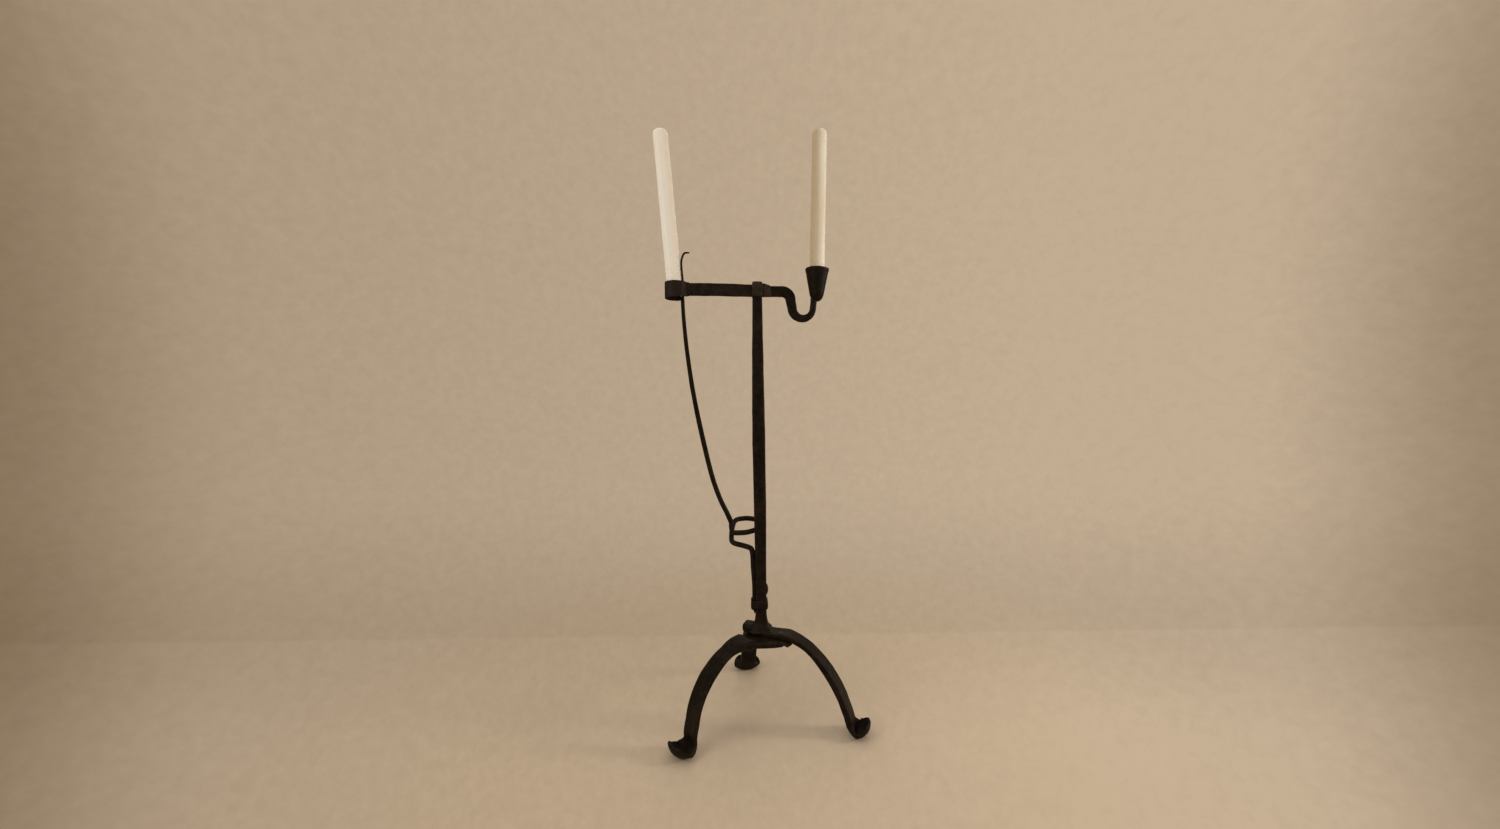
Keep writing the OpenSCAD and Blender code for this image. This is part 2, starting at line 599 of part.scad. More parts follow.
// Spring: two turns behind the stem, from the rod's end down to the tail on the stem's left face
// Height of the wire by its turn from the left of the first loop, as a share of the pitch
COIL_RISE = [[0, 0], [30, -0.33], [90, -0.2], [180, 0.12], [240, 0.28], [270, 0.32], [300, 0.24],
             [318, -0.05], [330, -0.48], [342, -0.82], [360, -0.94], [405, -1.056]];
function coil_height(t) = coil_z + coil_pitch * blend(COIL_RISE, t)[1];
coil_turn = 405;
rod_joint_h = 5;
function coil_points() = concat(
    [rod_low + [0, 0, rod_joint_h], rod_low + [0, 0, 0.5 * rod_joint_h], rod_low + [0.1, -2.4, 0]],
    [for (t = [15 : 15 : coil_turn])
        [coil_at[0] - coil_r * cos(t), coil_at[1] - coil_r * sin(t), coil_height(t)]],
    [[tail_x - 7, 13, coil_z - 1.22 * coil_pitch],
     [tail_x - (wire_d - tail_t) / 2 - 0.25, 3.5, coil_z - 1.42 * coil_pitch],
     [tail_x - (wire_d - tail_t) / 4 - 0.25, 0, tail_top - 12], [tail_x, 0, spring_rivet_z + 8],
     [tail_x, 0, spring_rivet_z - 8], [tail_x, 0, tail_collar_z - 1]]);
module spring_coil() {
    line = coil_points();
    t = tangents(line);
    u = normals(t, [1, 0, 0]);
    n = len(line);
    wire = n - 5;
    color(IRON) difference() {
        loft([for (i = [0 : n - 1]) let (s = max(0, min(1, (i - wire) / 2)),
            side = cross(t[i], u[i]), e = 1 - s,
            uu = s > 0.99 ? [0, 1, 0] : unit(u[i] * e + [0, 1, 0] * s),
            vv = unit(cross(t[i], uu)))
            ring_at_point(round_outline(wire_d + (tail_w - wire_d) * s, wire_d + (tail_t - wire_d) * s),
                line[i], uu, vv)]);
        through_spring_rivet();
    }
}

// Rod: up from the coil in a long bow, flattened through the ring, with a hooked tip
// Share of the way up and how far the rod bows to the left, as a share of its length
BOW = [[0.06, -0.006], [0.136, -0.025], [0.25, -0.038], [0.45, -0.042], [0.62, -0.039], [0.785, -0.0275],
       [0.9, -0.015]];
function beside_candle(h) = [left_foot[0] + candle_r / cos(left_lean) + run_gap + blade_t / 2
    - (ring_top + h - left_foot[2]) * tan(left_lean), ring_at[1], ring_top + h];
function rod_points() = let (bend = beside_candle(0.6 * hook_rise),
    beside_foot = beside_candle(-1.25 * candle_seat) - [(candle_d - candle_foot_d) / 2, 0, 0])
    concat([for (b = BOW) rod_low + rod_span * b[0] + [b[1] * norm(rod_span), 0, 0]],
        [rod_high, beside_foot, beside_candle(0), bend,
        bend + [1.3, 0, 0.23 * hook_rise], bend + [0.42 * hook_out, 0, 0.385 * hook_rise],
        bend + [hook_out, 0, 0.4 * hook_rise]]);
module spring_rod() {
    start = rod_low + [0, 0, rod_joint_h + run_gap];
    p = concat([start], rod_points());
    line = curve(p, start - [0, 0, 12], 2 * p[len(p) - 1] - p[len(p) - 2]);
    along = tangents(line);
    n = len(line);
    t = [for (i = [0 : n - 1]) i == 0 ? [0, 0, 1] : along[i]];
    u = normals(t, [0, 1, 0]);
    body = [[0, wire_d, wire_d], [2, wire_d, wire_d], [4, rod_d + 1.2, rod_d + 1.2], [7, rod_d, rod_d - 0.5],
            [8, rod_d - 0.2, rod_d - 0.7], [8.7, blade_w, blade_t], [11, blade_w * 0.8, blade_t],
            [13, blade_w * 0.6, blade_t * 0.9], [14, blade_w * 0.5, blade_t * 0.7]];
    color(IRON) loft([for (i = [0 : n - 1]) let (b = blend(body, i / STEPS))
        ring_at_point(round_outline(b[1], b[2]), line[i], u[i], cross(t[i], u[i]))]);
}

module spring_rivet() {
    right = stem_low_w / 2 + 0.02;
    left = tail_x - tail_t / 2;
    color(IRON) translate([0, 0, spring_rivet_z]) {
        translate([left - 0.4, 0, 0]) rotate([0, 90, 0]) cylinder(r = rivet_r, h = right - left + 0.4);
        translate([right, 0, 0]) rotate([0, 90, 0]) dome(spring_rivet_r, spring_rivet_h);
    }
}

module tail_collar() {
    low_x = tail_x - tail_t / 2 - hole_gap;
    high_x = stem_low_w / 2 + hole_gap;
    wide = high_x - low_x;
    deep = stem_low_w + 2 * hole_gap;
    grow = 2 * tail_collar_wall;
    shape = [[0, 1.2], [1, 0.2], [tail_collar_h / 2, 0], [tail_collar_h - 1, 0.2], [tail_collar_h, 1.2]];
    color(IRON) translate([(low_x + high_x) / 2, 0, tail_collar_z]) difference() {
        loft([for (s = shape)
            ring_at_point(flat_outline(wide + grow - s[1], deep + grow - s[1], 0),
                [0, 0, s[0]], [1, 0, 0], [0, 1, 0])]);
        translate([-wide / 2, -deep / 2, -1]) cube([wide, deep, tail_collar_h + 2]);
    }
}

// Candles
module candle() {
    shoulder = candle_l - candle_dome_h;
    r = candle_top_d / 2;
    color(WAX) rotate_extrude($fn = 64) polygon(concat(
        [[wick_d / 2 + hole_gap, 0], [candle_foot_d / 2, 0], [candle_r, candle_foot_h], [r, shoulder]],
        [for (a = [15 : 15 : 75]) [r * pow(cos(a), 0.8), shoulder + candle_dome_h * sin(a)]],
        [[wick_d / 2 + hole_gap, shoulder + candle_dome_h]]));
}
module wick() {
    color(WICK) translate([0, 0, 1]) cylinder(r = wick_d / 2, h = candle_l - 1 + wick_out, $fn = 24);
}
module at_left() {
    translate(left_foot) rotate([0, -left_lean, 0]) children();
}
module at_right() {
    translate(right_foot) rotate([0, right_lean, 0]) children();
}
module candle_left() { at_left() candle(); }
module candle_right() { at_right() candle(); }
module wick_left() { at_left() wick(); }
module wick_right() { at_right() wick(); }

shaft();
leg_right();
leg_left();
leg_back();
leg_rivet();
ring_arm();
candle_ring();
head_collar();
cup_branch();
candle_cup();
spring_coil();
spring_rod();
spring_rivet();
tail_collar();
candle_left();
candle_right();
wick_left();
wick_right();
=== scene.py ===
"""Wrought iron candlestick: forged tripod, square stem, arm with ring and gripping spring, branch with cup."""

import math

import bmesh
import bpy
import numpy as np
from mathutils import Matrix, Vector, noise


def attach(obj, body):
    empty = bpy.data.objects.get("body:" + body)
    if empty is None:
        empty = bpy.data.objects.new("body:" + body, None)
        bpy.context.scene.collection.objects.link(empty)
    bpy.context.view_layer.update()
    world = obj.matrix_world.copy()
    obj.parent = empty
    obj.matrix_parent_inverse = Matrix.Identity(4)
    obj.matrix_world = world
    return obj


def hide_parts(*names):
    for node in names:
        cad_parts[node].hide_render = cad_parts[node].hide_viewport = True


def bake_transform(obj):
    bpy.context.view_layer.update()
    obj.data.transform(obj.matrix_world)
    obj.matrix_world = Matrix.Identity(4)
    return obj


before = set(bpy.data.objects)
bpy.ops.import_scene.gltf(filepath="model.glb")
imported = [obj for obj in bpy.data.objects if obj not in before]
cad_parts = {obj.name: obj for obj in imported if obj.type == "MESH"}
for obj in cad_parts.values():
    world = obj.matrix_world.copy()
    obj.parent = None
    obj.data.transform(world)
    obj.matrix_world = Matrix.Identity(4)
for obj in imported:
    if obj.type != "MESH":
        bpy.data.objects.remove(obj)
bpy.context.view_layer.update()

MM = 0.001
X, Y, Z = np.eye(3)

# Stand, in millimetres
HUB_TOP = 136.0
LEG_T = 6.5
LEG_W = 28.0
LEG_FLAT = 40.0
LAP_GAP = 0.15
TOPS = [HUB_TOP - k * (LEG_T + LAP_GAP) for k in range(3)]
STACK_BOTTOM = TOPS[2] - LEG_T
REACH, REACH_LEFT = 146.0, 140.0
TOE_OUT, TOE_OUT_LEFT = 18.0, 20.5
TOE_RISE, TOE_DISH = 24.0, 13.0
TOE_W, TOE_W_BACK = 43.0, 48.0
HEEL_T, TOE_T, HEEL_SINK = 5.4, 3.4, 0.8
ARCH_T, ROOT_SWELL, WEB_H = 9.5, 12.0, 9.8
ANKLE_W, ANKLE_W_LEFT, ANKLE_W_BACK = 29.5, 27.0, 26.0
RIGHT_AZIMUTH, BACK_AZIMUTH, LEFT_AZIMUTH, TONGUE_AZIMUTH = -19.0, 99.5, 219.0, -38.0
TONGUE_RUN, TONGUE_ROOT_T, TONGUE_TIP_T = 57.0, 12.0, 2.5
ARCH = [(0, 1), (0.18, 0.955), (0.335, 0.885), (0.47, 0.787), (0.6, 0.662), (0.706, 0.53),
        (0.788, 0.405), (0.836, 0.308), (0.88, 0.212)]
ARCH_LEFT = [(0, 1), (0.16, 0.985), (0.37, 0.918), (0.535, 0.82), (0.674, 0.705), (0.782, 0.57),
             (0.845, 0.45), (0.88, 0.325), (0.908, 0.212)]

# Stem, arm and head
SHOULDER = 654.0
ARM_TURN = 4.0
ARM_H, ARM_T = 20.0, 6.0
RING_X, RING_R, RING_WALL = 125.3, 17.25, 2.2
RING_LOW, RING_TOP = 650.3, 675.6
STEM = [(136, 17.2), (138, 15.6), (141, 12.6), (147, 10.2), (158, 8.5), (200, 8.5), (243, 8.5), (296, 9.3),
        (436, 10), (530, 9.05), (654, 7.5)]

# Cup
CUP_X, CUP_RIM, CUP_LOW, CUP_R, CUP_SLOPE, CUP_WALL = 95.2, 698.0, 647.0, 18.7, 0.183, 1.2

# Candles
CANDLE_L, CANDLE_R, CANDLE_TOP_R, CANDLE_FOOT_R = 250.0, 11.75, 11.45, 11.4
CANDLE_SEAT = 12.6
LEFT_LEAN, RIGHT_LEAN = -4.6, 1.8
LEFT_FOOT = np.array([-126.94, -8.74, 663.0])
RIGHT_FOOT = np.array([94.02, 6.64, 667.69])
WICK_R, WICK_OUT = 0.9, 3.2

# Spring
COIL_AT = np.array([-21.4, 39.7])
COIL_R, COIL_Z, COIL_PITCH = 25.0, 288.0, 23.0
COIL_RISE = [(0, 0), (30, -0.33), (90, -0.2), (180, 0.12), (240, 0.28), (270, 0.32), (300, 0.3),
             (320, 0.24), (335, 0.02), (350, -0.5), (365, -0.9), (380, -1.01), (405, -1.056)]
TAIL_X = -11.15
ROD_LOW = np.array([-46.4, 39.7, 288.0])
ROD_HIGH = np.array([-115.07, -8.74, 647.3])
BOW = [(0.06, -0.006), (0.136, -0.025), (0.25, -0.038), (0.45, -0.042), (0.62, -0.039), (0.785, -0.0275),
       (0.9, -0.015)]


# Curves and frames

def unit(v):
    return v / np.linalg.norm(v)


def curve(points, before, after, steps):
    """Smooth line through the points, with one more point at each end that sets the end slopes."""
    q = np.vstack([[before], points, [after]]).astype(float)
    line = []
    for i in range(1, len(q) - 2):
        a, b, c, d = q[i - 1:i + 3]
        for k in range(steps):
            t = k / steps
            line.append(0.5 * (2 * b + (c - a) * t + (2 * a - 5 * b + 4 * c - d) * t * t
                               + (3 * b - a - 3 * c + d) * t ** 3))
    return np.array(line + [q[-2]])


def tangents(line):
    t = np.gradient(line, axis=0)
    return t / np.linalg.norm(t, axis=1)[:, None]


def transport(line, start):
    """Tangent and two normals along a line, turning as little as possible."""
    t = tangents(line)
    u = [unit(start - t[0] * (start @ t[0]))]
    for k in range(1, len(line)):
        u.append(unit(u[-1] - t[k] * (u[-1] @ t[k])))
    u = np.array(u)
    return t, u, np.cross(t, u)


def table(rows, places):
    """Values of a table of (place, value ...) rows at the given places."""
    rows = np.array(rows, float)
    return np.stack([np.interp(places, rows[:, 0], rows[:, k]) for k in range(1, rows.shape[1])], axis=1)


def turned(points, degrees):
    a = math.radians(degrees)
    m = np.array([[math.cos(a), -math.sin(a), 0], [math.sin(a), math.cos(a), 0], [0, 0, 1]])
    return points @ m.T


# Outlines

def bar_outline(width, thick, corner, dish=0.0, arc=4, long=8, short=3):
    """Flat bar with rounded corners: width along x, thickness along y, the edges raised by dish."""
    r = min(corner, 0.49 * width, 0.49 * thick)
    x, y = width / 2 - r, thick / 2 - r
    corners = [(x, y), (-x, y), (-x, -y), (x, -y)]
    arcs = [[(cx + r * math.cos(math.radians(90 * (i + k / arc))), cy + r * math.sin(math.radians(90 * (i + k / arc))))
             for k in range(arc + 1)] for i, (cx, cy) in enumerate(corners)]
    points = []
    for i in range(4):
        a, b = np.array(arcs[i][-1]), np.array(arcs[(i + 1) % 4][0])
        steps = long if i % 2 == 0 else short
        points += arcs[i] + [tuple(a + (b - a) * k / steps) for k in range(1, steps)]
    points = np.array(points)
    points[:, 1] += dish * (2 * points[:, 0] / width) ** 2
    return points


def oval_outline(a, b, power=2.0, count=28):
    """Oval of full sizes a and b. A higher power makes it squarer."""
    angle = np.arange(count) * 2 * math.pi / count
    c, s = np.cos(angle), np.sin(angle)
    return np.stack([a / 2 * np.sign(c) * np.abs(c) ** (2 / power), b / 2 * np.sign(s) * np.abs(s) ** (2 / power)],
                    axis=1)


# Shells: a shell is (vertices in millimetres, faces)

def skin(rings, closed=False):
    """Shell through rings with the same number of points, with end caps or closed into a loop."""
    m, n = rings.shape[:2]
    last = m if closed else m - 1
    faces = [(i * n + j, i * n + (j + 1) % n, (i + 1) % m * n + (j + 1) % n, (i + 1) % m * n + j)
             for i in range(last) for j in range(n)]
    if not closed:
        faces += [tuple(range(n)), tuple((m - 1) * n + j for j in range(n))]
    return rings.reshape(-1, 3), faces


def eased(outline, by):
    """The outline drawn in by a distance on every side."""
    half = np.abs(outline - outline.mean(axis=0)).max(axis=0)
    return outline.mean(axis=0) + (outline - outline.mean(axis=0)) * np.maximum(0.05, (half - by) / half)


def sweep(line, u, v, outlines, ends=(0.0, 0.0), tip=None):
    """Skin of outlines set along a line. Each end is rounded over its depth, which adds to the length."""
    t = tangents(line)
    rings = [p + o[:, :1] * a + o[:, 1:] * b for p, o, a, b in zip(line, outlines, u, v)]
    for depth, where in zip(ends, (0, -1)):
        if depth:
            out = t[where] * (-1 if where == 0 else 1)
            extra = []
            for angle in (22, 45, 67, 90):
                o = eased(outlines[where], depth * (1 - math.cos(math.radians(angle))))
                p = line[where] + out * depth * math.sin(math.radians(angle))
                extra.append(p + o[:, :1] * u[where] + o[:, 1:] * v[where])
            o = eased(outlines[where], 0.55 * min(np.ptp(outlines[where], axis=0)) + depth * 0.2)
            extra.append(p + o[:, :1] * u[where] + o[:, 1:] * v[where])
            rings = extra[::-1] + rings if where == 0 else rings + extra
    return skin(np.array(rings))


def straight(low, high, spacing):
    count = max(2, int(round(abs(high - low) / spacing)) + 1)
    return np.linspace(low, high, count)


def upright(stations, power_corner, spacing=3.0, ends=(1.0, 1.0), at=(0.0, 0.0)):
    """Square bar that stands upright, with a half width at each height."""
    heights = straight(stations[0][0], stations[-1][0], spacing)
    heights = np.unique(np.concatenate([heights, [s[0] for s in stations]]))
    half = table(stations, heights)[:, 0]
    smooth = np.convolve(np.pad(half, 1, mode="edge"), [0.25, 0.5, 0.25], mode="valid")
    smooth[0], smooth[-1] = half[0], half[-1]
    outlines = [bar_outline(2 * h, 2 * h, power_corner * h, long=6, short=6) for h in smooth]
    line = np.stack([np.full_like(heights, at[0]), np.full_like(heights, at[1]), heights], axis=1)
    return sweep(line, [X] * len(line), [Y] * len(line), outlines, ends)


def lathe(profile, count=72, closed=False, wave=None):
    """Shell of a profile of (radius, height) points turned about Z. wave(angle, radius, height) may move it."""
    angle = np.arange(count) * 2 * math.pi / count
    rings = []
    for r, h in profile:
        rr, hh = np.full(count, r), np.full(count, h)
        if wave is not None:
            rr, hh = wave(angle, rr, hh)
        rings.append(np.stack([rr * np.cos(angle), rr * np.sin(angle), hh], axis=1))
    return skin(np.array(rings), closed)


def tube(places, outer, inner, u, v, wall_round=0.6):
    """Wrapped band: an outer skin and an inner one along the same line, closed over both edges."""
    rings = [p + eased(o, wall_round * e)[:, :1] * u + eased(o, wall_round * e)[:, 1:] * v
             for p, o, e in zip(places, outer, [1] + [0] * (len(outer) - 2) + [1])]
    back = [p + o[:, :1] * u + o[:, 1:] * v for p, o in zip(places[::-1], inner[::-1])]
    return skin(np.array(rings + back), closed=True)


# Pieces

def forge(bm, depth, size, seed):
    """Hammered surface: shallow hollows about size apart, slow waves and fine unevenness."""
    bm.normal_update()
    shift = Vector((seed * 7.3, seed * 3.1, seed * 5.7))
    moves = []
    for v in bm.verts:
        p = v.co / (size * MM) + shift
        near = min(1.0, noise.voronoi(p, distance_metric="DISTANCE", exponent=2.5)[0][0])
        hollow = -0.9 * (1 - near * near)
        slow = noise.noise(p * 0.4 + shift) + 0.6
        fine = 0.3 * noise.noise(p * 2.6)
        moves.append(v.normal * (depth * MM * (hollow + slow + fine)))
    for v, move in zip(bm.verts, moves):
        v.co += move
        v.co.z = max(v.co.z, 0.0)


def piece(name, shells, body, material, nodes, dents=None):
    bm = bmesh.new()
    for verts, faces in shells:
        made = [bm.verts.new(Vector(p) * MM) for p in verts]
        for face in faces:
            bm.faces.new([made[i] for i in face])
    bmesh.ops.remove_doubles(bm, verts=bm.verts, dist=1e-6)
    bmesh.ops.recalc_face_normals(bm, faces=bm.faces)
    if dents:
        forge(bm, *dents)
    for face in bm.faces:
        face.smooth = True
    mesh = bpy.data.meshes.new(name)
    bm.to_mesh(mesh)
    bm.free()
    mesh.materials.append(material)
    obj = bpy.data.objects.new(name, mesh)
    bpy.context.collection.objects.link(obj)
    if body:
        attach(obj, body)
    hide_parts(*nodes)
    return obj


# Materials

def node(tree, kind, inputs=None, **settings):
    made = tree.nodes.new(kind)
    for key, value in settings.items():
        setattr(made, key, value)
    for key, value in (inputs or {}).items():
        if isinstance(value, bpy.types.NodeSocket):
            tree.links.new(value, made.inputs[key])
        else:
            made.inputs[key].default_value = value
    return made


def ramp(tree, fac, stops):
    made = node(tree, "ShaderNodeValToRGB", {"Fac": fac})
    elements = made.color_ramp.elements
    while len(elements) < len(stops):
        elements.new(0.5)
    for element, (place, colour) in zip(elements, stops):
        element.position = place
        element.color = (*colour, 1) if len(colour) == 3 else colour
    return made.outputs["Color"]


def grey(value):
    return (value, value, value)


def noise_value(tree, coords, scale, detail=4.0, rough=0.55, distortion=0.0):
    return node(tree, "ShaderNodeTexNoise", {"Vector": coords, "Scale": scale, "Detail": detail,
                                            "Roughness": rough, "Distortion": distortion}).outputs["Fac"]


def mixed(tree, fac, a, b):
    return node(tree, "ShaderNodeMix", {"Factor": fac, 6: a, 7: b}, data_type="RGBA").outputs[2]


def times(tree, a, b, operation="MULTIPLY"):
    return node(tree, "ShaderNodeMath", {0: a, 1: b}, operation=operation).outputs[0]


def spread(tree, value, low, high, start, end):
    """Smooth change from start to end while value goes from low to high."""
    return node(tree, "ShaderNodeMapRange", {"Value": value, "From Min": low, "From Max": high, "To Min": start,
                                             "To Max": end}, interpolation_type="SMOOTHSTEP").outputs[0]


def new_material(name):
    material = bpy.data.materials.new(name)
    material.use_nodes = True
    material.node_tree.nodes.clear()
    return material, material.node_tree


def finish_material(tree, shader):
    out = tree.nodes.new("ShaderNodeOutputMaterial")
    tree.links.new(shader, out.inputs["Surface"])


DARK_IRON = (0.0028, 0.0017, 0.0009)
BROWN_IRON = (0.0165, 0.0098, 0.0047)
RUST = (0.036, 0.0155, 0.0055)
WORN_IRON = (0.036, 0.027, 0.017)


def iron(name, dark=DARK_IRON, brown=BROWN_IRON, rust=0.5, worn=0.5, facet=85.0):
    """Old forged iron: blotched brown-black scale, some rust, rubbed edges, hammer facets and fine pits."""
    material, tree = new_material(name)
    coords = node(tree, "ShaderNodeTexCoord").outputs["Object"]
    blotch = noise_value(tree, coords, 26, 6, 0.62, 0.4)
    mottle = noise_value(tree, coords, 150, 5, 0.6)
    grain = noise_value(tree, coords, 900, 4, 0.7)
    facets = node(tree, "ShaderNodeTexVoronoi", {"Vector": coords, "Scale": facet, "Smoothness": 0.7},
                  feature="SMOOTH_F1").outputs["Distance"]
    both = times(tree, blotch, mottle, "ADD")
    scale = mixed(tree, ramp(tree, times(tree, both, 0.5), [(0.38, grey(0)), (0.62, grey(1))]),
                  (*dark, 1), (*brown, 1))
    rusty = ramp(tree, noise_value(tree, coords, 48, 7, 0.68, 0.6), [(0.53, grey(0)), (0.72, grey(rust))])
    rusted = mixed(tree, rusty, scale, (*RUST, 1))
    edge = node(tree, "ShaderNodeNewGeometry").outputs["Pointiness"]
    rubbed = times(tree, ramp(tree, edge, [(0.5, grey(0)), (0.6, grey(worn))]),
                   ramp(tree, mottle, [(0.35, grey(0.25)), (0.65, grey(1))]))
    colour = mixed(tree, rubbed, rusted, (*WORN_IRON, 1))
    roughness = ramp(tree, times(tree, times(tree, mottle, grain, "ADD"), 0.5),
                     [(0.3, grey(0.42)), (0.7, grey(0.7))])
    pits = node(tree, "ShaderNodeBump", {"Height": grain, "Strength": 0.35, "Distance": 0.00025})
    soft = node(tree, "ShaderNodeBump", {"Height": mottle, "Strength": 0.5, "Distance": 0.0006,
                                         "Normal": pits.outputs[0]})
    dents = node(tree, "ShaderNodeBump", {"Height": facets, "Strength": 0.45, "Distance": 0.0011,
                                          "Normal": soft.outputs[0]})
    shader = node(tree, "ShaderNodeBsdfPrincipled", {
        "Base Color": colour, "Roughness": roughness, "Specular IOR Level": 0.09,
        "Normal": dents.outputs[0]})
    finish_material(tree, shader.outputs[0])
    return material


def wax(name, pale, deep, painted_shade, start, end, lean):
    """Candle wax: faint clouds, a few scuffs and drawn streaks, and painted shade on one side, darkening from start to
    end across.
    """
    material, tree = new_material(name)
    coords = node(tree, "ShaderNodeTexCoord").outputs["Object"]
    stretched = node(tree, "ShaderNodeMapping", {"Vector": coords, "Scale": (1, 1, 0.18)}).outputs[0]
    clouds = noise_value(tree, stretched, 60, 5, 0.55)
    scuffs = noise_value(tree, coords, 420, 6, 0.7)
    unshaded_wax = mixed(tree, ramp(tree, clouds, [(0.35, grey(0)), (0.68, grey(1))]), (*pale, 1), (*deep, 1))
    apart = node(tree, "ShaderNodeSeparateXYZ", {0: coords})
    across = times(tree, apart.outputs["X"], times(tree, apart.outputs["Z"], lean), "SUBTRACT")
    # Painted shade: across the candle, between start and end, the wax darkens to the painted_shade colour.
    colour = mixed(tree, spread(tree, across, start, end, 0.0, 1.0), unshaded_wax, (*painted_shade, 1))
    roughness = ramp(tree, scuffs, [(0.35, grey(0.38)), (0.68, grey(0.55))])
    fine = node(tree, "ShaderNodeBump", {"Height": scuffs, "Strength": 0.12, "Distance": 0.0002})
    slow = node(tree, "ShaderNodeBump", {"Height": clouds, "Strength": 0.25, "Distance": 0.0006,
                                         "Normal": fine.outputs[0]})
    shader = node(tree, "ShaderNodeBsdfPrincipled", {
        "Base Color": colour, "Roughness": roughness, "Subsurface Weight": 0.35,
        "Subsurface Radius": (0.9, 0.6, 0.35), "Subsurface Scale": 0.004, "Specular IOR Level": 0.4,
        "Normal": slow.outputs[0]})
    finish_material(tree, shader.outputs[0])
    return material


def cord(name, pale, dark):
    """Braided cotton, waxed and a little stained."""
    material, tree = new_material(name)
    coords = node(tree, "ShaderNodeTexCoord").outputs["Object"]
    fibres = noise_value(tree, coords, 2600, 5, 0.7)
    stain = noise_value(tree, coords, 300, 4, 0.6)
    colour = mixed(tree, ramp(tree, stain, [(0.35, grey(0)), (0.65, grey(1))]), (*pale, 1), (*dark, 1))
    bump = node(tree, "ShaderNodeBump", {"Height": fibres, "Strength": 0.6, "Distance": 0.0002})
    shader = node(tree, "ShaderNodeBsdfPrincipled", {
        "Base Color": colour, "Roughness": ramp(tree, fibres, [(0.3, grey(0.7)), (0.7, grey(0.9))]),
        "Normal": bump.outputs[0]})
    finish_material(tree, shader.outputs[0])
    return material


IRON = iron("forged_iron")
# Lighter copies of the iron: the head and collar's with more rubbed edges, and the arm and ring's browner.
IRON_HEAD = iron("forged_iron_lighter_rubbed", dark=(0.018, 0.0125, 0.0085), brown=(0.052, 0.036, 0.023), rust=0.6, worn=0.8)
IRON_ARM = iron("forged_iron_lighter_brown", dark=(0.007, 0.0042, 0.0024), brown=(0.026, 0.0165, 0.0095), rust=0.6, worn=0.6)
IRON_ROD = iron("drawn_iron", rust=0.35, worn=0.35, facet=130.0)
# Each wax's last colour is painted shade on one side: the left candle's right edge and the right candle's left side.
WAX_LEFT = wax("wax_left", (0.93, 0.88, 0.77), (0.9, 0.83, 0.7), (0.76, 0.66, 0.52), -0.0735, -0.061, -0.0805)
WAX_RIGHT = wax("wax_right", (0.9, 0.82, 0.67), (0.8, 0.7, 0.53), (0.55, 0.43, 0.26), 0.0765, 0.0655, 0.0314)
WICK_LEFT = cord("wick_burnt", (0.08, 0.06, 0.045), (0.025, 0.02, 0.016))
WICK_RIGHT = cord("wick_fresh", (0.5, 0.42, 0.3), (0.3, 0.23, 0.15))


# Tripod

def leg_points(top, reach, arch, out):
    arc = [(LEG_FLAT + (reach - LEG_FLAT) * a, (top - LEG_T / 2) * b) for a, b in arch]
    foot = [(reach - 9, HEEL_T / 2 + 12.3), (reach - 5.5, HEEL_T / 2 + 4.3), (reach + 0.5, HEEL_T / 2 - HEEL_SINK),
            (reach + 0.55 * out, HEEL_T / 2 + 1.8), (reach + 0.9 * out, TOE_RISE * 0.5),
            (reach + out, TOE_RISE * 0.82)]
    p = np.array(arc + foot)
    return curve(p, (2 * p[0][0] - p[1][0], p[1][1]), 2 * p[-1] - p[-2], 8)


def leg_body(mid_t, ankle, toe):
    """Width, thickness and hollow of a leg by the share of its line past the flat part."""
    return [(0, LEG_W, LEG_T, 0), (0.12, LEG_W, LEG_T, 0), (0.3, LEG_W, mid_t, 0), (0.5, (LEG_W + ankle) / 2, mid_t, 0),
            (0.63, ankle, mid_t, 0.04 * TOE_DISH), (0.7, (ankle + 2 * toe) / 3, LEG_T + 0.4, 0.34 * TOE_DISH),
            (0.786, toe, HEEL_T, 0.64 * TOE_DISH), (0.857, toe, TOE_T + 0.8, 0.68 * TOE_DISH),
            (0.93, 0.92 * toe, TOE_T + 0.4, 0.54 * TOE_DISH), (0.97, 0.8 * toe, TOE_T + 0.2, 0.42 * TOE_DISH),
            (1, 0.6 * toe, TOE_T * 0.85, 0.28 * TOE_DISH)]


# Thickness, middle height under the bar's middle, width and corner of the right leg's folded end by its run
LOBE = [(-24.5, 14.6, 4.6, 22, 5.2), (-17, 14.2, 4.2, 24, 5), (-10, 12, 3.0, 25, 4), (0, 9, 1.4, 26, 2.6),
        (10, LEG_T, 0, LEG_W, 1.7), (LEG_FLAT, LEG_T, 0, LEG_W, 1.7)]
PLAIN = [(-30, LEG_T, 0, LEG_W, 1.7), (LEG_FLAT, LEG_T, 0, LEG_W, 1.7)]
# Added depth at the left leg's root and the share of it above the bar, by its run
ROOT = [(0, 0, 0), (25, 0, 0), (30, 0.9, 0.3), (36, 1, 0.45), (48, 0.6, 0.5), (66, 0, 0.5), (200, 0, 0.5)]


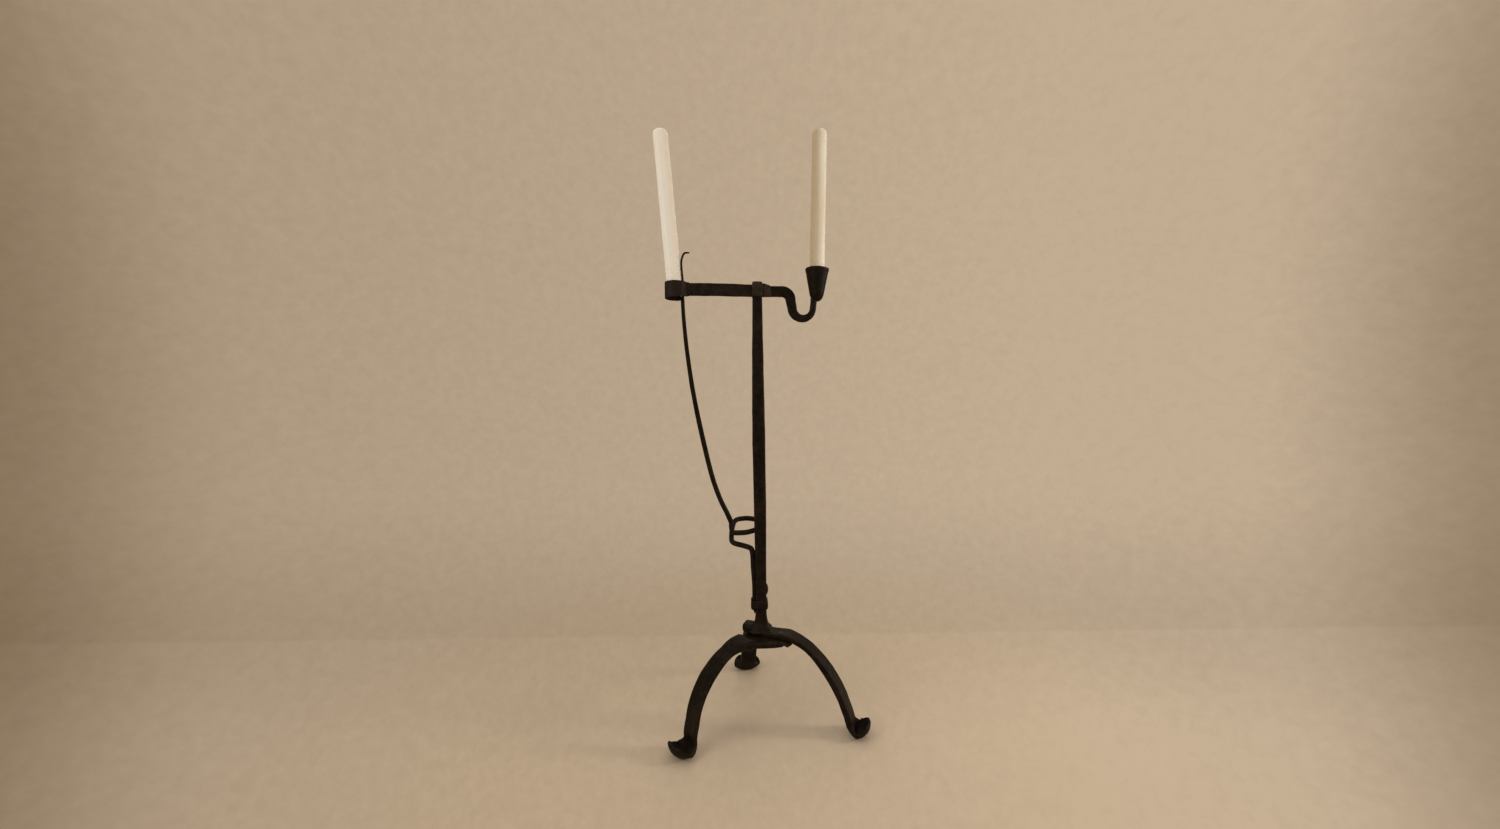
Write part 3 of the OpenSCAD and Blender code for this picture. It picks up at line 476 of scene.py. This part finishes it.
def leg_bar(top, reach, arch, out, body, lead_body, azimuth, swell=0.0, roll=0.0, root_end=2.2):
    """Flat bar from the hub over the arch to the ankle, spread and hollowed into a turned-up toe."""
    arched = leg_points(top, reach, arch, out)
    lead = straight(lead_body[0][0] if lead_body is LOBE else -10.5, LEG_FLAT - 2.5, 2.0)
    flat = np.stack([np.concatenate([lead, arched[:, 0]]),
                     np.concatenate([np.full_like(lead, top - LEG_T / 2), arched[:, 1]])], axis=1)
    line = np.stack([flat[:, 0], np.zeros(len(flat)), flat[:, 1]], axis=1)
    t = tangents(line)
    up = np.stack([-t[:, 2], np.zeros(len(line)), t[:, 0]], axis=1)
    thick, lift, wide, corner = table(lead_body, line[:, 0]).T
    past = np.concatenate([np.zeros(len(lead)), np.linspace(0, 1, len(arched))])
    sizes = table(body, past)
    arch_part = np.arange(len(line)) >= len(lead)
    wide = np.where(arch_part, sizes[:, 0], wide)
    thick = np.where(arch_part, sizes[:, 1], thick)
    added, above = table(ROOT, line[:, 0]).T
    added = added * swell
    line = line + up * (lift + added * (above - 0.5))[:, None]
    outlines = [bar_outline(w, h, c, 0, long=12)
                for w, h, c in zip(wide, thick + added, np.maximum(corner, 0.3 * added))]
    twist = np.radians(np.where(arch_part, np.interp(past, [0.66, 0.8], [0, roll]), 0))[:, None]
    across = Y * np.cos(twist) + up * np.sin(twist)
    turn = up * np.cos(twist) - Y * np.sin(twist)
    verts, faces = sweep(line, across, turn, outlines, (root_end, 0))
    padded = np.pad(turn, ((4, 4), (0, 0)), mode="edge")
    slow = sum(padded[k:k + len(turn)] for k in range(9)) / 9
    raised = [dish * (2 * o[:, :1] / w) ** 2 * d for dish, o, w, d in zip(sizes[:, 2], outlines, wide, slow)]
    verts[-len(line) * len(outlines[0]):] += np.concatenate(raised)
    return turned(verts, azimuth), faces


def tongue():
    """Tapered end of the left leg's bar, lying against the underside of the right leg."""
    arched = leg_points(TOPS[0], REACH, ARCH, TOE_OUT)
    lead = straight(-6.0, LEG_FLAT - 2.5, 2.5)
    flat = np.stack([np.concatenate([lead, arched[:, 0]]),
                     np.concatenate([np.full_like(lead, TOPS[0] - LEG_T / 2), arched[:, 1]])], axis=1)
    flat = flat[flat[:, 0] < TONGUE_RUN - 1.0]
    line = np.stack([flat[:, 0], np.zeros(len(flat)), flat[:, 1]], axis=1)
    t = tangents(line)
    up = np.stack([-t[:, 2], np.zeros(len(line)), t[:, 0]], axis=1)
    s = np.clip(line[:, 0], 0, None) / TONGUE_RUN
    thick = TONGUE_ROOT_T + (TONGUE_TIP_T - TONGUE_ROOT_T) * s ** 0.9 - 0.2
    wide = LEG_W * (0.86 - 0.42 * s * s)
    line = line - up * (LEG_T / 2 + LAP_GAP + 0.17 + thick / 2)[:, None]
    outlines = [bar_outline(w, h, 2.4, long=10) for w, h in zip(wide, thick)]
    verts, faces = sweep(line, [Y] * len(line), up, outlines, ends=(2.0, 1.0))
    return turned(verts, TONGUE_AZIMUTH), faces


def web():
    """Metal drawn out between the left leg's root and its tongue."""
    low = TOPS[1] - WEB_H
    points = np.array([(-27, -20, 0), (-20, -23.5, 0), (-8, -25.2, 0), (6, -25.4, 0), (18, -24.4, 0), (28, -21.5, 0)])
    line = curve(points, (-33, -16, 0), (34, -17, 0), 5) + (0, 0, low + WEB_H / 2 - 0.2)
    t = tangents(line)
    side = np.stack([-t[:, 1], t[:, 0], np.zeros(len(line))], axis=1)
    outlines = [bar_outline(17.4, WEB_H - 0.5, 3.2, long=6) for _ in line]
    return sweep(line, side, [Z] * len(line), outlines, ends=(3.0, 3.0))


piece("leg_right", [leg_bar(TOPS[0], REACH, ARCH, TOE_OUT, leg_body(ARCH_T, ANKLE_W, TOE_W), LOBE, RIGHT_AZIMUTH,
                            roll=1, root_end=4.2)],
      "stand", IRON, ["leg_right"], (0.5, 15, 1))
piece("leg_left", [leg_bar(TOPS[1], REACH_LEFT, ARCH_LEFT, TOE_OUT_LEFT, leg_body(LEG_T + 0.5, ANKLE_W_LEFT, TOE_W),
                           PLAIN, LEFT_AZIMUTH, ROOT_SWELL, roll=5), tongue(), web()],
      "stand", IRON, ["leg_left"], (0.5, 15, 2))
piece("leg_back", [leg_bar(TOPS[2], REACH, ARCH, TOE_OUT, leg_body(ARCH_T, ANKLE_W_BACK, TOE_W_BACK), PLAIN,
                           BACK_AZIMUTH)],
      "stand", IRON, ["leg_back"], (0.5, 15, 3))


def dome(radius, height, steps=6):
    """Profile of a low rounded head, from its rim up to the middle."""
    return [(radius * math.cos(a), height * math.sin(a)) for a in np.linspace(0, 0.47 * math.pi, steps)]


RIVET_AT = np.array([28.83, -18.02, 0.0])
rivet_head = [(2.0, TOPS[1] - WEB_H)] + [(2.0, HUB_TOP)] + [(r, HUB_TOP + 0.02 + h) for r, h in dome(4.4, 3.0)]
rivet_foot = [(r, TOPS[1] - WEB_H - 0.1 - h) for r, h in dome(3.6, 1.6)][::-1]
rivet = lathe(rivet_foot + rivet_head, 28)
piece("leg_rivet", [(rivet[0] + RIVET_AT, rivet[1])], "stand", IRON_HEAD, ["leg_rivet"], (0.2, 4, 4))

# Stem with its flared foot, head block and the tenon that is peened under the hub
stem = upright(STEM, 0.34, spacing=2.6, ends=(0.6, 0.5))
wander = stem[0].copy()
wander[:, 0] += 0.35 * np.sin((wander[:, 2] - 160) / 71.0) * (wander[:, 2] > 160)
stem = (wander, stem[1])
head = upright([(653.9, 7.6), (656, 8.2), (664, 8.3), (672.5, 8.3), (674.2, 7.8)], 0.3, 1.5, (0.8, 2.4))
head = (turned(head[0], ARM_TURN), head[1])
peen = lathe([(r, STACK_BOTTOM - LAP_GAP - h) for r, h in dome(11.0, 4.0)][::-1]
             + [(10.9, STACK_BOTTOM - 0.1), (6.5, STACK_BOTTOM), (6.5, HUB_TOP + 1)], 40)
piece("shaft", [stem], "stand", IRON, ["shaft"], (0.32, 13, 5))
piece("shaft_head", [head, peen], "stand", IRON_HEAD, ["shaft"], (0.32, 13, 5))

# Arm, lapped inside the head collar, and its ring
ARM_LAP = 7.5


def flat_run(x, y_low, y_high, z_low, z_high, corner, ends):
    """Bar along X of the arm's frame, whose sides are given at each station."""
    line = np.stack([x, (y_low + y_high) / 2, (z_low + z_high) / 2], axis=1)
    outlines = [bar_outline(w, h, corner, long=3, short=8) for w, h in zip(y_high - y_low, z_high - z_low)]
    verts, faces = sweep(line, [Y] * len(x), [Z] * len(x), outlines, ends)
    return turned(verts, ARM_TURN), faces


arm_x = np.concatenate([straight(-109.0, 6.0, 2.4), [7.4, 8.0, 12.0, 16.0, 19.6]])
lapped = arm_x > ARM_LAP
arm_low = np.where(lapped, 656.0, SHOULDER + 0.2 - 1.2 * arm_x / RING_X + 0.3 * np.sin(arm_x / 17.0))
arm_high = np.where(lapped, 669.4, SHOULDER + ARM_H - 1.2 - 2.5 * arm_x / RING_X - 0.3 * np.sin(arm_x / 23.0 + 1))
piece("ring_arm", [flat_run(arm_x, np.full(len(arm_x), -ARM_T / 2), np.where(lapped, -0.1, ARM_T / 2),
                            arm_low, arm_high, 1.5, (0.8, 0.5))],
      "stand", IRON_ARM, ["ring_arm"], (0.4, 12, 6))


RING_LAP = 3.2
RING_AT = turned(np.array([-RING_X, 0.0, 0.0]), ARM_TURN)


def strap():
    """Strap bent round the candle from its end lapped on the arm's front to its free end at the back."""
    middle = RING_R - RING_WALL / 2
    lap_y = -(ARM_T / 2 + LAP_GAP + RING_WALL / 2)
    lap = np.array([(x, lap_y) for x in np.arange(RING_R + RING_LAP - 0.6, 15.9, -1.0)])
    angle = np.radians(np.arange(-17, -296, -3.0))
    bent = middle * np.stack([np.cos(angle), np.sin(angle)], axis=1)
    flat = np.vstack([lap, bent])
    low = np.interp(flat[:, 0], [0.1 * RING_R, RING_R + RING_LAP + 1], [RING_LOW, SHOULDER - 0.8])
    high = np.interp(flat[:, 0], [14.0, RING_R + RING_LAP + 1], [RING_TOP, SHOULDER + ARM_H + 0.9])
    place = np.arange(len(flat)) / len(flat)
    low = low + 0.3 * np.sin(9 * place + 0.4) + 0.25
    high = high + 0.25 * np.sin(11 * place + 2) - 0.3
    line = np.column_stack([flat, (low + high) / 2])
    t = tangents(np.column_stack([flat, np.zeros(len(flat))]))
    out = np.stack([-t[:, 1], t[:, 0], np.zeros(len(line))], axis=1)
    thick = RING_WALL * np.interp(place, [0, 0.06, 0.9, 1], [0.8, 1, 1, 0.6])
    outlines = [bar_outline(w, h, 0.8, long=2, short=9) for w, h in zip(thick, high - low)]
    verts, faces = sweep(line, out, [Z] * len(line), outlines, (0.6, 0.5))
    return turned(verts, ARM_TURN) + RING_AT, faces


piece("candle_ring", [strap()], "stand", IRON_ARM, ["candle_ring"], (0.22, 9, 7))

# Wrapped collar that binds the arm's lap to the branch's
collar_x = np.array([7.9, 9.4, 12.0, 15.0, 18.0, 20.6, 21.6])
collar_top = np.array([674.4, 674.2, 673.8, 673.0, 672.0, 671.4, 670.9])
collar_low = np.array([653.9, 653.9, 653.9, 653.9, 653.9, 653.9, 654.5])
collar_wide = np.array([9.9, 10.5, 10.6, 10.5, 10.4, 10.3, 9.7])
collar_mid = (collar_top + collar_low) / 2
collar_line = np.stack([collar_x, np.zeros(7), collar_mid], axis=1)
outer = [bar_outline(w, h, 2.2, long=4, short=8) for w, h in zip(collar_wide, collar_top - collar_low)]
inner = [bar_outline(6.3, 13.9, 0.8, long=4, short=8) + np.array([0, 662.7 - m]) for m in collar_mid]
collar = tube(collar_line, outer, inner, Y, Z, 0.3)
collar[0][:, 0] += np.clip((collar[0][:, 0] - 12.0) / 9.0, 0, 1) * (656.0 - collar[0][:, 2]) * 0.09
piece("head_collar", [(turned(collar[0], ARM_TURN), collar[1])], "stand", IRON_HEAD, ["head_collar"],
      (0.35, 7, 8))

# Branch: out of the collar, down, round the bend and up beside the cup
DROP_X, BEND_IN_X, UP_X, TURN_R, BRANCH_LOW, BRANCH_MID = 52.7, 55.0, 87.6, 14.0, 620.0, 662.2
BEND_R = (UP_X - BEND_IN_X) / 2
# Across and in-plane size by the share of the line past the collar
BRANCH = [(0, 6.6, 16.4), (0.12, 7.6, 16.4), (0.26, 8.6, 15.8), (0.42, 9.4, 14.2), (0.52, 10, 12.5),
          (0.62, 10, 11.8), (0.8, 10, 9.8), (1, 11, 9.8)]


def arc(centre, radius, first, last, step):
    angle = np.radians(np.arange(first, last + (1 if last > first else -1), step))
    return np.stack([centre[0] + radius * np.cos(angle), np.zeros(len(angle)),
                     centre[1] + radius * np.sin(angle)], axis=1)


def branch():
    start = np.stack([straight(14.0, 36.6, 2.4), np.zeros(10), np.full(10, BRANCH_MID)], axis=1)
    over = arc((DROP_X - TURN_R, BRANCH_MID - TURN_R), TURN_R, 90, 0, -9)
    under = arc((BEND_IN_X + BEND_R, BRANCH_LOW + BEND_R), BEND_R, 180, 360, 7.5)
    drop = over[-1] + (under[0] - over[-1]) * np.array([[0.25], [0.5], [0.75]])
    rise = np.array([(UP_X + 0.4, 0, 639.2), (UP_X + 0.8, 0, 641.9), (UP_X + 1.2, 0, 645.0), (UP_X + 1.4, 0, 648),
                     (UP_X + 1.4, 0, 651.5)])
    line = np.vstack([start, over, drop, under, rise])
    t = tangents(line)
    up = np.stack([-t[:, 2], np.zeros(len(line)), t[:, 0]], axis=1)
    run = np.concatenate([[0], np.cumsum(np.linalg.norm(np.diff(line, axis=0), axis=1))])
    share = np.interp(run, run[[5, len(start), len(start) + len(over), -len(rise) - len(under), -len(rise), -1]],
                      [0, 0.05, 0.3, 0.35, 0.87, 1])
    sizes = table(BRANCH, share)
    corner = np.interp(share, [0, 0.15, 0.45, 1], [1.4, 2.2, 3.4, 4.4])
    outlines = [bar_outline(w, h, c, long=5, short=6) for (w, h), c in zip(sizes, corner)]
    verts, faces = sweep(line, [Y] * len(line), up, outlines, ends=(0.5, 1.5))
    return turned(verts, ARM_TURN), faces


piece("cup_branch", [branch()], "stand", IRON, ["cup_branch"], (0.42, 11, 9))


def cup_out(z):
    return CUP_R - (CUP_RIM - z) * CUP_SLOPE


def rolled(angle, radius, height):
    """Cone rolled from sheet: the outer edge of the sheet steps over the inner one at the seam."""
    turn = np.mod(angle / (2 * math.pi) + 0.36, 1.0)
    step = np.where(radius > 6, 0.5 * (1 - turn) ** 2, 0)
    return radius - 0.25 + step + 0.15 * np.sin(2 * angle), height + np.where(height > 690, 0.3 * np.sin(angle * 2), 0)


def leaning(shell, foot, degrees):
    a = math.radians(degrees)
    m = np.array([[math.cos(a), 0, math.sin(a)], [0, 1, 0], [-math.sin(a), 0, math.cos(a)]])
    return shell[0] @ m.T + foot, shell[1]


cup_outside = [(1.0, CUP_LOW)] + [(cup_out(CUP_LOW + h) + r, CUP_LOW + h)
                                  for r, h in ((-7.5, 0.1), (-5.5, 0.5), (-3.9, 1.3), (-2.6, 2.6), (-1.5, 4.3),
                                               (-0.8, 6.4), (-0.3, 8.6), (0, 11))]
cup_outside += [(cup_out(z), z) for z in np.linspace(CUP_LOW + 14, CUP_RIM - 6, 11)]
cup_outside += [(cup_out(CUP_RIM - 5) + 0.4, CUP_RIM - 5), (cup_out(CUP_RIM - 3) + 0.45, CUP_RIM - 3),
                (CUP_R + 0.2, CUP_RIM - 1.0), (CUP_R + 0.05, CUP_RIM - 0.35), (CUP_R - 0.5, CUP_RIM - 0.2),
                (CUP_R - 1.1, CUP_RIM - 0.6)]
cup_inside = [(cup_out(z) - CUP_WALL, z) for z in np.linspace(CUP_RIM - 2, CUP_LOW + 13.5, 12)]
cup = lathe(cup_outside + cup_inside + [(6.0, CUP_LOW + 13), (1.0, CUP_LOW + 12.8)], 96, wave=rolled)
RIM = np.array([0, 0, CUP_RIM])
CUP_AT = turned(np.array([CUP_X, 0.0, 0.0]), ARM_TURN)
cup = leaning((cup[0] - RIM, cup[1]), RIM + CUP_AT, RIGHT_LEAN)
piece("candle_cup", [cup], "stand", IRON, ["candle_cup"], (0.22, 10, 10))


# Spring: tail on the stem, coil behind it, long bowed rod, blade through the ring, hooked tip

def coil_height(degrees):
    turns, shares = np.array(COIL_RISE).T
    return COIL_Z + COIL_PITCH * np.interp(degrees, turns, shares)


def beside_candle(height):
    """Point of the blade at a height above the ring's top."""
    lean = math.tan(math.radians(-LEFT_LEAN))
    x = LEFT_FOOT[0] + CANDLE_R / math.cos(math.radians(LEFT_LEAN)) + 1.9 - (RING_TOP + height - LEFT_FOOT[2]) * lean
    return np.array([x, LEFT_FOOT[1], RING_TOP + height])


HOOK_RISE, HOOK_OUT = 45.5, 12.0
BLADE_T, BLADE_W, WIRE = 3.2, 6.0, 8.2


def spring():
    tail = [(TAIL_X + 1.5, 0, 162.0)] + [(TAIL_X + 0.5, 0, z) for z in (170.0, 188, 206)]
    tail += [(TAIL_X - 0.4, 0, 231), (TAIL_X - 1.4, 3.5, 255.3), (TAIL_X - 7, 13, 259.9)]
    coil = [(COIL_AT[0] - COIL_R * math.cos(math.radians(a)), COIL_AT[1] - COIL_R * math.sin(math.radians(a)),
             coil_height(a)) for a in range(405, 0, -15)]
    join = [ROD_LOW + (0.1, -2.6, 0.7), ROD_LOW + (-0.3, 0, 6.5)]
    span = ROD_HIGH - ROD_LOW
    rod = [ROD_LOW + span * share + (bow * np.linalg.norm(span), 0, 0) for share, bow in BOW] + [ROD_HIGH]
    bend = beside_candle(0.6 * HOOK_RISE)
    beside_foot = beside_candle(-1.25 * CANDLE_SEAT) - (CANDLE_R - CANDLE_FOOT_R, 0, 0)
    blade = [beside_foot, beside_candle(0), bend, bend + (1.3, 0, 0.23 * HOOK_RISE),
             bend + (0.42 * HOOK_OUT, 0, 0.385 * HOOK_RISE), bend + (HOOK_OUT, 0, 0.4 * HOOK_RISE)]
    points = np.array([*tail, *coil, *join, *rod, *blade])
    steps = 6
    line = curve(points, points[0] - (0, 0, 10), 2 * points[-1] - points[-2], steps)
    base = len(tail) + len(coil) + len(join)
    sizes = [(0, 7.6, 2.2, 4), (1, 8.6, 5.4, 4), (3, 9, 5.9, 4), (4, 8.8, 7.3, 3.4), (5, 8.5, 8.3, 2.6), (6, WIRE, WIRE, 2),
             (base - 1, WIRE, WIRE, 2), (base + 1, WIRE - 0.2, WIRE - 0.2, 2), (base + 3, 7.8, 7.8, 2),
             (base + 6, 6.6, 6.1, 2.2), (base + 7, 6.4, 5.9, 2.3), (base + 7.7, BLADE_W, BLADE_T, 2.6),
             (base + 10, 0.8 * BLADE_W, BLADE_T, 2.6), (base + 12, 0.6 * BLADE_W, 0.9 * BLADE_T, 2.4),
             (base + 13, 0.5 * BLADE_W, 0.7 * BLADE_T, 2.4)]
    t, u, v = transport(line, Y)
    place = np.arange(len(line)) / steps
    mark = int((base + 6) * steps)
    want = unit(Y - t[mark] * (Y @ t[mark]))
    twist = math.atan2(np.cross(u[mark], want) @ t[mark], u[mark] @ want)
    turn = twist * np.clip((place - 8) / (base - 10), 0, 1)
    across = u * np.cos(turn)[:, None] + v * np.sin(turn)[:, None]
    outlines = [oval_outline(a, b, p) for a, b, p in table(sizes, place)]
    return sweep(line, across, np.cross(t, across), outlines, ends=(1.0, 1.0))


spring_piece = piece("spring", [spring()], None, IRON_ROD, ["spring_coil", "spring_rod"], (0.18, 9, 11))
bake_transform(spring_piece)

# Rivet through the stem and the spring's tail, and the collar below it
SPRING_RIVET_Z = 198.0
low_head = lathe([(2.0, -21.5)] + [(2.0, -0.6), (7.2, -0.5)] + [(r, h) for r, h in dome(7.5, 3.0)], 36)
flat = low_head[0]
rivet_side = np.stack([flat[:, 2] + 8.5, flat[:, 1], -flat[:, 0] * 1.1 + SPRING_RIVET_Z], axis=1)
piece("spring_rivet", [(rivet_side, low_head[1])], "stand", IRON, ["spring_rivet"], (0.4, 6, 12))

band_z = np.array([169.1, 169.9, 172.4, 176.0, 179.6, 182.1, 182.9])
band_wide = np.array([23.4, 25.2, 26.2, 26.4, 26.1, 25.2, 23.6])
band_deep = np.array([18.8, 20.3, 21.0, 21.1, 20.9, 20.3, 19.0])
band_line = np.stack([np.full(7, -2.6), np.zeros(7), band_z], axis=1)
outer = [bar_outline(w, d, 3.0, long=9, short=8) for w, d in zip(band_wide, band_deep)]
inner = [bar_outline(22.3, 17.3, 1.0, long=9, short=8) for _ in band_z]
piece("tail_collar", [tube(band_line, outer, inner, X, Y, 0.4)], "stand", IRON, ["tail_collar"], (0.5, 7, 13))


# Candles and wicks

def candle():
    shoulder = CANDLE_L - 8.2
    profile = [(0.6, 0.0), (CANDLE_FOOT_R - 0.8, 0.0), (CANDLE_FOOT_R - 0.1, 0.7), (CANDLE_FOOT_R + 0.1, 2.0)]
    profile += [(CANDLE_R - 0.08, 16.0), (CANDLE_R - 0.03, 18.0)]
    profile += [(np.interp(z, [18, shoulder], [CANDLE_R - 0.05, CANDLE_TOP_R - 0.05]), z)
                for z in np.linspace(26, shoulder, 28)]
    profile += [(CANDLE_TOP_R * math.cos(a) ** 0.8, shoulder + 8.1 * math.sin(a))
                for a in np.radians([10, 20, 30, 40, 50, 60, 70, 78])]
    return lathe(profile + [(1.7, CANDLE_L - 0.15), (1.1, CANDLE_L - 0.6)], 64)


def wick():
    """Twisted three-strand cord, coarse inside the candle and fine where it stands out."""
    heights = np.concatenate([straight(1.0, 236.0, 23.5), straight(238.0, CANDLE_L + WICK_OUT - 0.4, 0.35)])
    angle = np.arange(24) * 2 * math.pi / 24
    rings = []
    for h in heights:
        turn = max(0.0, h - 236.0) * 0.9
        r = WICK_R * (0.84 + 0.16 * np.cos(3 * (angle - turn)))
        rings.append(np.stack([r * np.cos(angle), r * np.sin(angle), np.full(24, h)], axis=1))
    rings.append(rings[-1] * (0.6, 0.6, 1) + (0, 0, 0.35))
    return skin(np.array(rings))


for side, foot, lean, material, cord_material in (("left", LEFT_FOOT, LEFT_LEAN, WAX_LEFT, WICK_LEFT),
                                                  ("right", RIGHT_FOOT, RIGHT_LEAN, WAX_RIGHT, WICK_RIGHT)):
    body = "candle_" + side
    seed = 20 if side == "left" else 23
    piece("candle_" + side, [leaning(candle(), foot, lean)], body, material, ["candle_" + side], (0.1, 28, seed))
    piece("wick_" + side, [leaning(wick(), foot, lean)], body, cord_material, ["wick_" + side])


# Stage: floor, background, lights and camera

BACK = (0.539, 0.418, 0.291, 1)
# Colour of the painted shade that the backdrop and floor fall to.
BACK_SHADE = (0.162, 0.105, 0.053, 1)
FOOT_OF_WALL = -0.425
FLOOR_ALBEDO = 1.1


CAMERA_AT = (-0.0134, -0.780, 0.4705)


def background_colour(tree, direction):
    """Beige of the room with painted shade: darker to both sides, most to the left, and in a soft band where wall meets
    floor.
    """
    apart = node(tree, "ShaderNodeSeparateXYZ", {0: direction})
    x, y, z = apart.outputs["X"], apart.outputs["Y"], apart.outputs["Z"]
    ahead = node(tree, "ShaderNodeCombineXYZ", {"Y": y, "Z": times(tree, z, 0.63)}).outputs[0]
    depth = node(tree, "ShaderNodeVectorMath", {0: ahead}, operation="LENGTH").outputs["Value"]
    aside = times(tree, x, depth, "DIVIDE")
    # Painted shade: the tone falls off to both sides, and further at the rim of the view.
    side = node(tree, "ShaderNodeMapRange", {"Value": aside, "From Min": -1.0, "From Max": 0.6, "To Min": 0.78})
    rim = spread(tree, times(tree, aside, 0.0, "ABSOLUTE"), 0.95, 1.55, 1.0, 0.6)
    below = times(tree, z, depth, "DIVIDE")
    # Painted shade in the corner: the wall darkens toward its foot and the floor toward the wall.
    wall = spread(tree, below, -0.43, -0.12, 0.86, 1.0)
    ground = spread(tree, below, -0.62, -0.43, 1.0, 0.91)
    foot_of_wall = spread(tree, below, FOOT_OF_WALL - 0.004, FOOT_OF_WALL + 0.004, 0.0, 1.0)
    band = node(tree, "ShaderNodeMix", {0: foot_of_wall, 2: ground, 3: wall}).outputs[0]
    grain = noise_value(tree, direction, 70, 5, 0.65)
    mottle = node(tree, "ShaderNodeMapRange", {"Value": grain, "From Min": 0.25, "From Max": 0.75,
                                               "To Min": 0.94, "To Max": 1.05}).outputs[0]
    level = times(tree, times(tree, times(tree, side.outputs[0], rim), band), mottle)
    share = node(tree, "ShaderNodeMapRange", {"Value": level, "From Min": 0.3, "From Max": 1.0})
    return mixed(tree, share.outputs[0], BACK_SHADE, BACK)


def stage_floor():
    bm = bmesh.new()
    bmesh.ops.create_circle(bm, cap_ends=True, segments=96, radius=14.0)
    mesh = bpy.data.meshes.new("floor")
    bm.to_mesh(mesh)
    bm.free()
    material, tree = new_material("floor")
    coords = node(tree, "ShaderNodeTexCoord").outputs["Object"]
    away = node(tree, "ShaderNodeVectorMath", {0: coords}, operation="LENGTH").outputs["Value"]
    ray = node(tree, "ShaderNodeVectorMath", {0: coords, 1: CAMERA_AT}, operation="SUBTRACT").outputs[0]
    direction = node(tree, "ShaderNodeVectorMath", {0: ray}, operation="NORMALIZE").outputs[0]
    # This tone, painted shade included, sets the floor's own colour and its far backdrop.
    tone = background_colour(tree, direction)
    albedo = node(tree, "ShaderNodeVectorMath", {0: tone, "Scale": FLOOR_ALBEDO}, operation="SCALE").outputs[0]
    diffuse = node(tree, "ShaderNodeBsdfPrincipled", {"Base Color": albedo, "Roughness": 0.9,
                                                      "Specular IOR Level": 0.1})
    backdrop = node(tree, "ShaderNodeEmission", {"Color": tone})
    far = node(tree, "ShaderNodeMapRange", {"Value": away, "From Min": 0.32, "From Max": 0.9},
               interpolation_type="SMOOTHSTEP")
    seen = node(tree, "ShaderNodeLightPath").outputs["Is Camera Ray"]
    shader = node(tree, "ShaderNodeMixShader", {0: times(tree, far.outputs[0], seen), 1: diffuse.outputs[0],
                                                2: backdrop.outputs[0]})
    finish_material(tree, shader.outputs[0])
    mesh.materials.append(material)
    floor = bpy.data.objects.new("floor", mesh)
    bpy.context.collection.objects.link(floor)


def stage_world():
    world = bpy.data.worlds.new("studio")
    bpy.context.scene.world = world
    world.use_nodes = True
    tree = world.node_tree
    tree.nodes.clear()
    direction = node(tree, "ShaderNodeTexCoord").outputs["Generated"]
    path = node(tree, "ShaderNodeLightPath")
    seen = times(tree, times(tree, path.outputs["Is Camera Ray"], path.outputs["Is Glossy Ray"], "ADD"),
                 path.outputs["Is Transmission Ray"], "ADD")
    # The backdrop seen by the camera and in reflections shows the same painted shade.
    shown = node(tree, "ShaderNodeBackground", {"Color": background_colour(tree, direction)})
    light = node(tree, "ShaderNodeBackground", {"Color": (1.0, 0.965, 0.92, 1), "Strength": 0.67})
    both = node(tree, "ShaderNodeMixShader", {0: seen, 1: light.outputs[0], 2: shown.outputs[0]})
    out = tree.nodes.new("ShaderNodeOutputWorld")
    tree.links.new(both.outputs[0], out.inputs["Surface"])


def lamp(name, place, target, size, watts, colour):
    light = bpy.data.lights.new(name, "AREA")
    light.shape = "DISK"
    light.size = size
    light.energy = watts
    light.color = colour
    obj = bpy.data.objects.new(name, light)
    obj.location = place
    obj.rotation_euler = (Vector(target) - Vector(place)).to_track_quat("-Z", "Y").to_euler()
    obj.visible_camera = False
    bpy.context.collection.objects.link(obj)


def stage_camera():
    lean = 0.01274
    upright_share = math.sqrt(1 - lean * lean)
    camera = bpy.data.cameras.new("camera")
    camera.lens = 12.0
    camera.sensor_width = 36.0
    camera.clip_start = 0.01
    obj = bpy.data.objects.new("camera", camera)
    x, y, z = CAMERA_AT
    obj.matrix_world = Matrix(((upright_share, lean, 0, x), (0, 0, -1, y), (-lean, upright_share, 0, z),
                               (0, 0, 0, 1)))
    bpy.context.collection.objects.link(obj)
    bpy.context.scene.camera = obj


stage_floor()
stage_world()
lamp("key", (2.3, -0.15, 0.9), (0, 0, 0.3), 0.5, 21.0, (1.0, 0.965, 0.91))
lamp("left", (-1.05, -0.75, 1.05), (-0.1, 0, 0.6), 0.9, 5.0, (1.0, 0.98, 0.95))
lamp("behind", (0.3, 1.9, 1.7), (0, 0, 0.5), 1.0, 4.0, (1.0, 0.98, 0.95))
stage_camera()
bpy.context.scene.view_settings.view_transform = "Standard"
